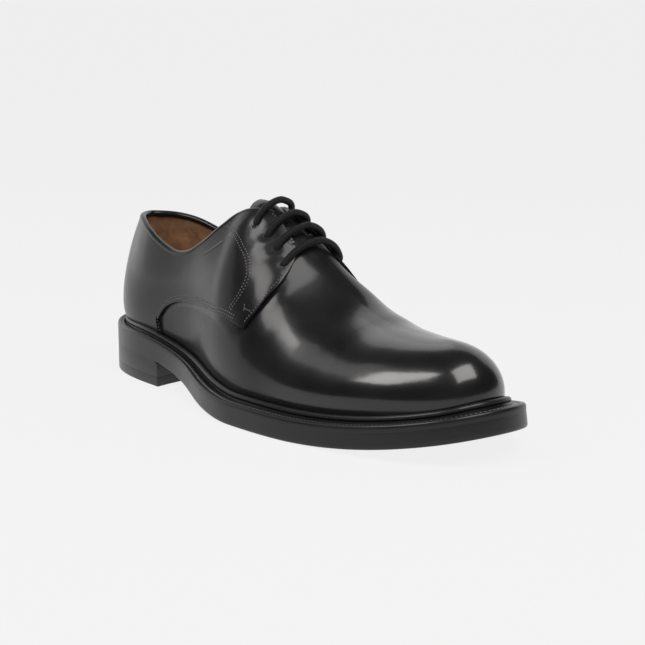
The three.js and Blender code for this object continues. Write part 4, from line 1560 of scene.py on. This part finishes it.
@dataclass
class Stitching:
    """Every sewn row of the shoe."""

    finishes: Finishes
    upper: Upper
    # The real stitches are about 1.3 mm long in thread 0.4 mm thick. They are drawn coarser, so that they
    # show.
    pitch: float = 1.8
    thread_radius: float = 0.33

    def build(self) -> None:
        """Builds the rows, joined by kind."""
        self.quarter_rows()
        self.welt_row()

    @staticmethod
    def beads(
        path: Array, normals: Array, pitch: float, length: float, radius: float, sink: float, phase: float
    ) -> tuple[Array, list[tuple[int, ...]]]:
        """Lays small closed stitches along a path.

        Args:
            path: Points on the leather, in millimetres.
            normals: Directions out of it.
            pitch: Distance from stitch to stitch.
            length: Length of a stitch.
            radius: Half its thickness.
            sink: How far its middle line lies under the surface.
            phase: Where the first starts, a share of the pitch.

        Returns:
            Points in millimetres and faces.
        """
        run = lengths_along(path)
        spots = np.arange(phase * pitch + length / 2, run[-1] - length / 2, pitch)

        def at(values: Array, place: Array) -> Array:
            """Returns values at distances along the path."""
            return np.stack([np.interp(place, run, values[:, i]) for i in range(3)], -1)

        sides, rings = 6, ((-0.5, 0.25), (-0.32, 0.85), (0.0, 1.0), (0.32, 0.85), (0.5, 0.25))
        points, faces = [], []
        angles = np.linspace(0, 2 * np.pi, sides, endpoint=False)
        for number, spot in enumerate(spots):
            centre, up = at(path, np.array([spot]))[0], unit(at(normals, np.array([spot])))[0]
            ahead = at(path, np.array([spot + 0.2]))[0] - at(path, np.array([spot - 0.2]))[0]
            ahead = unit(ahead - up * float(ahead @ up))
            across = np.cross(up, ahead)
            base = number * sides * len(rings)
            for along, size in rings:
                heart = centre + ahead * along * length + up * (-sink - radius * (1 - size) * 1.1)
                ring = heart + radius * size * (
                    np.cos(angles)[:, None] * across + np.sin(angles)[:, None] * up
                )
                points.append(ring)
            for i in range(len(rings) - 1):
                for j in range(sides):
                    k = (j + 1) % sides
                    a, b = base + i * sides, base + (i + 1) * sides
                    faces.append((a + j, b + j, b + k, a + k))
            faces.append(tuple(base + j for j in range(sides)))
            faces.append(tuple(base + (len(rings) - 1) * sides + j for j in range(sides))[::-1])
        return np.vstack(points), faces

    def row(self, name: str, lines: list[tuple[Array, Array]], pitch: float, radius: float) -> None:
        """Builds one piece of stitches and one of black beads between them, painted shade in the awl's
        holes.
        """
        for kind, length, thick, sink, phase in (
            ("", pitch * 0.6, radius, -0.02, 0.0),
            # Black beads sunk between the stitches: painted shade in the awl's holes.
            ("_holes", pitch * 0.42, radius * 1.15, radius * 0.85, 0.6),
        ):
            points, faces, count = [], [], 0
            for path, normals in lines:
                spots, sides = self.beads(path, normals, pitch, length, thick, sink, phase)
                faces += [tuple(i + count for i in face) for face in sides]
                points.append(spots)
                count += len(spots)
            piece = mesh_piece(name + kind, LAST.placed(np.vstack(points)), faces)
            soften(piece)
            finish = self.finishes.hole if kind else self.finishes.thread
            fit(piece, finish)

    def beside(
        self, side: Side, edge: str, distance: float, start: float, end: float
    ) -> tuple[Array, Array]:
        """Returns a line on a quarter at a distance from one of its edges, with its normals."""
        count = 260
        share = np.linspace(start, end, count)
        depth = np.linspace(0, 0.25, 40)
        if edge == "bottom":
            u, v = np.broadcast_arrays(share[:, None], depth[None])
        else:
            u, v = np.broadcast_arrays(1 - depth[None], share[:, None])
        facing = self.upper.facings[side]
        place = facing.place(u, v)
        points = facing.off(place, 0.0)
        run = np.cumsum(np.linalg.norm(np.diff(points, axis=1), axis=-1), axis=1)
        run = np.concatenate([np.zeros((count, 1)), run], 1)
        spots = np.stack(
            [[np.interp(distance, run[i], place[i, :, k]) for k in range(2)] for i in range(count)]
        )
        base = facing.off(spots, 0.0)
        push = self.upper.raised(side, base, self.upper.quarter_out) + self.upper.holes(side, base)
        normals = facing.normal(spots)
        return base + normals * push[:, None], normals

    def drawn(self, side: Side, line: tuple[tuple[float, float], ...], shift: float) -> tuple[Array, Array]:
        """Returns a line on a quarter drawn from the side, moved forwards by a distance."""
        points = spline(np.array(line, float), 16)
        along = unit(np.gradient(points, axis=0))
        points = points + np.stack([along[:, 1], -along[:, 0]], -1) * shift
        facing = self.upper.facings[side]
        spots = facing.fold(LAST.nearest(points, Axes.PROFILE, side))
        base = facing.off(spots, 0.0)
        push = self.upper.raised(side, base, self.upper.quarter_out)
        normals = facing.normal(spots)
        return base + normals * push[:, None], normals

    FACING_ROW = (
        (130.5, 93.6), (136.4, 91.9), (144.0, 88.6), (149.6, 84.5), (154.0, 81.0), (158.2, 75.5),
        (160.2, 69.7), (159.0, 62.2), (154.9, 54.5),
    )
    TACK = ((165.1, 56.2), (167.2, 55.8), (169.4, 55.2))
    KNOT = ((164.6, 58.2), (165.3, 56.2), (165.0, 54.4))

    def quarter_rows(self) -> None:
        """Builds the rows of both quarters."""
        for side in Side:
            word = side.name.lower()
            foot = [self.beside(side, "bottom", d, 0.4, 0.95) for d in (1.6, 3.3)]
            self.row(f"stitches_foot_{word}", foot, self.pitch, self.thread_radius)
            front = [self.beside(side, "front", 1.5, 0.04, 0.97)]
            self.row(f"stitches_facing_{word}", front, self.pitch, self.thread_radius)
            curved = [self.drawn(side, self.FACING_ROW, d) for d in (-0.85, 0.85)]
            self.row(f"stitches_curve_{word}", curved, self.pitch, self.thread_radius)
            tack = [self.drawn(side, self.TACK, 0.0), self.drawn(side, self.KNOT, 0.0)]
            self.row(f"stitches_tack_{word}", tack, 1.3, 0.4)
            back = np.stack([np.full(200, 0.035), np.linspace(0.02, 0.9, 200)], -1)
            facing = self.upper.facings[side]
            keep = back[:, 1] < float(np.interp(0.035, facing.top[:, 0], facing.top[:, 1])) - 0.03
            back = back[keep]
            line = facing.off(back, self.upper.quarter_out)
            self.row(f"stitches_back_{word}", [(line, facing.normal(back))], self.pitch, self.thread_radius)

    def welt_row(self) -> None:
        """Builds the welt's stitches in their groove, all round."""
        turns = np.linspace(0, 2 * np.pi, 2400)
        share = LAST.share(turns)
        plan = LAST.inside(turns, 3.75 * LAST.welt_width(share) / LAST.welt_ball)
        path = np.concatenate([plan, (LAST.welt_top(share) - 0.55)[:, None]], 1)
        normals = np.tile(np.array([0.0, 0.0, 1.0]), (len(path), 1))
        points, faces = self.beads(path, normals, 2.3, 1.9, 0.42, 0.05, 0.0)
        piece = mesh_piece("welt_stitches", LAST.placed(points), faces)
        soften(piece)
        fit(piece, self.finishes.welt_thread)


@dataclass(frozen=True)
class Softbox:
    """A rectangular studio light.

    Name, place and size in metres, where it points, and its brightness.
    """

    name: str
    place: tuple[float, float, float]
    size: tuple[float, float]
    power: float
    aim: tuple[float, float, float] = (0.0, 0.0, 0.05)
    tint: tuple[float, float, float] = (1.0, 0.98, 0.96)

    def hang(self) -> None:
        """Adds the light to the scene."""
        data = bpy.data.lights.new(self.name, "AREA")
        data.shape, data.size, data.size_y = "RECTANGLE", self.size[0], self.size[1]
        data.energy, data.color = self.power, self.tint
        lamp = bpy.data.objects.new(self.name, data)
        bpy.context.scene.collection.objects.link(lamp)
        lamp.location = self.place
        toward = Vector(self.aim) - Vector(self.place)
        lamp.rotation_euler = toward.to_track_quat("-Z", "Y").to_euler()


@dataclass
class Studio:
    """Pale floor and backdrop, soft lights, and the camera at the photograph's angle."""

    azimuth: float = 51.0
    elevation: float = 11.0
    distance: float = 0.8
    lens: float = 82.96
    target: tuple[float, float, float] = (-0.0025, 0.02566, 0.04002)
    pale: str = "#f2f2f2"

    floor: tuple[float, float] = (9.0, 6.0)
    backdrop: float = 4.0
    air: float = 0.02

    LIGHTS = (
        Softbox("outer_box", (-0.18, -0.85, 0.98), (0.44, 0.5), 6.2),
        Softbox("outer_fill", (-0.526, -0.627, 1.05), (0.45, 0.5), 0.8),
        Softbox("toe_box", (0.66, -0.11, 1.08), (0.95, 0.8), 15.0),
        Softbox("rear_box", (-0.98, 0.4, 1.06), (0.9, 0.4), 0.5),
        Softbox("side_card", (-1.3, -0.47, 0.25), (1.2, 0.9), 2.2),
    )

    def back(self) -> Vector:
        """Returns the direction from the shoe to the camera."""
        az, el = math.radians(self.azimuth), math.radians(self.elevation)
        return Vector((math.sin(az) * math.cos(el), -math.cos(az) * math.cos(el), math.sin(el)))

    def build(self) -> None:
        """Builds the room, the lights and the camera."""
        self.room()
        for box in self.LIGHTS:
            box.hang()
        world = bpy.data.worlds.new("studio_air")
        bpy.context.scene.world = world
        world.use_nodes = True
        world.node_tree.nodes["Background"].inputs[0].default_value = (1, 1, 1, 1)
        world.node_tree.nodes["Background"].inputs[1].default_value = self.air
        data = bpy.data.cameras.new("photo_camera")
        data.sensor_width, data.lens, data.clip_start = 36.0, self.lens, 0.01
        camera = bpy.data.objects.new("photo_camera", data)
        bpy.context.scene.collection.objects.link(camera)
        camera.location = Vector(self.target) + self.back() * self.distance
        camera.rotation_euler = self.back().to_track_quat("Z", "Y").to_euler()
        bpy.context.scene.camera = camera
        bpy.context.scene.view_settings.view_transform = "Standard"

    def room(self) -> None:
        """Builds the floor, swept up into a backdrop behind the shoe."""
        deselect_all()
        bpy.ops.mesh.primitive_plane_add(size=1.0, location=(0, 0, 0))
        room = bpy.context.object
        room.name = "floor_sweep"
        for vertex in room.data.vertices:
            vertex.co.x *= self.floor[0]
            vertex.co.y *= self.floor[1]
        choose(room)
        bpy.ops.object.mode_set(mode="EDIT")
        bpy.ops.mesh.select_all(action="DESELECT")
        bpy.ops.object.mode_set(mode="OBJECT")
        for edge in room.data.edges:
            ends = [room.data.vertices[i].co.y for i in edge.vertices]
            edge.select = min(ends) > 2.9
        bpy.ops.object.mode_set(mode="EDIT")
        bpy.ops.mesh.select_mode(type="EDGE")
        bpy.ops.mesh.extrude_region_move(TRANSFORM_OT_translate={"value": (0, 0, self.backdrop)})
        bpy.ops.object.mode_set(mode="OBJECT")
        round_edges(room, 1200.0, 16, 30)
        yaw = math.radians(self.azimuth)
        for vertex in room.data.vertices:
            x, y = vertex.co.x, vertex.co.y
            vertex.co.x = x * math.cos(yaw) - y * math.sin(yaw)
            vertex.co.y = x * math.sin(yaw) + y * math.cos(yaw)
        material, tree, out = fresh_material("paper_backdrop")
        shader = add_node(
            tree, "ShaderNodeBsdfPrincipled",
            {"Base Color": linear("#3a3a3a"), "Roughness": 0.9, "Specular IOR Level": 0.0,
             "Emission Color": linear(self.pale), "Emission Strength": 0.95},
        )
        tree.links.new(shader.outputs[0], out.inputs[0])
        room.data.materials.append(material)
        room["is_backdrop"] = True


def main() -> None:
    """Builds the shoe and the studio, and reports each piece."""
    logging.basicConfig(level=logging.INFO, format="%(name)s %(message)s")
    finishes = Finishes.make()
    upper = Upper(finishes)
    upper.build()
    Tongue(finishes).build()
    Eyelets(finishes, upper).build()
    Laces(finishes).build()
    Bottom(finishes).build()
    Stitching(finishes, upper).build()
    Studio().build()
    boxes = [[list(corner) for corner in box] for box in (CAD_BOX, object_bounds())]
    for name, box in zip(("cad", "visual"), boxes):
        LOG.info("%s box %s", name, box)


if __name__ == "__main__":
    main()
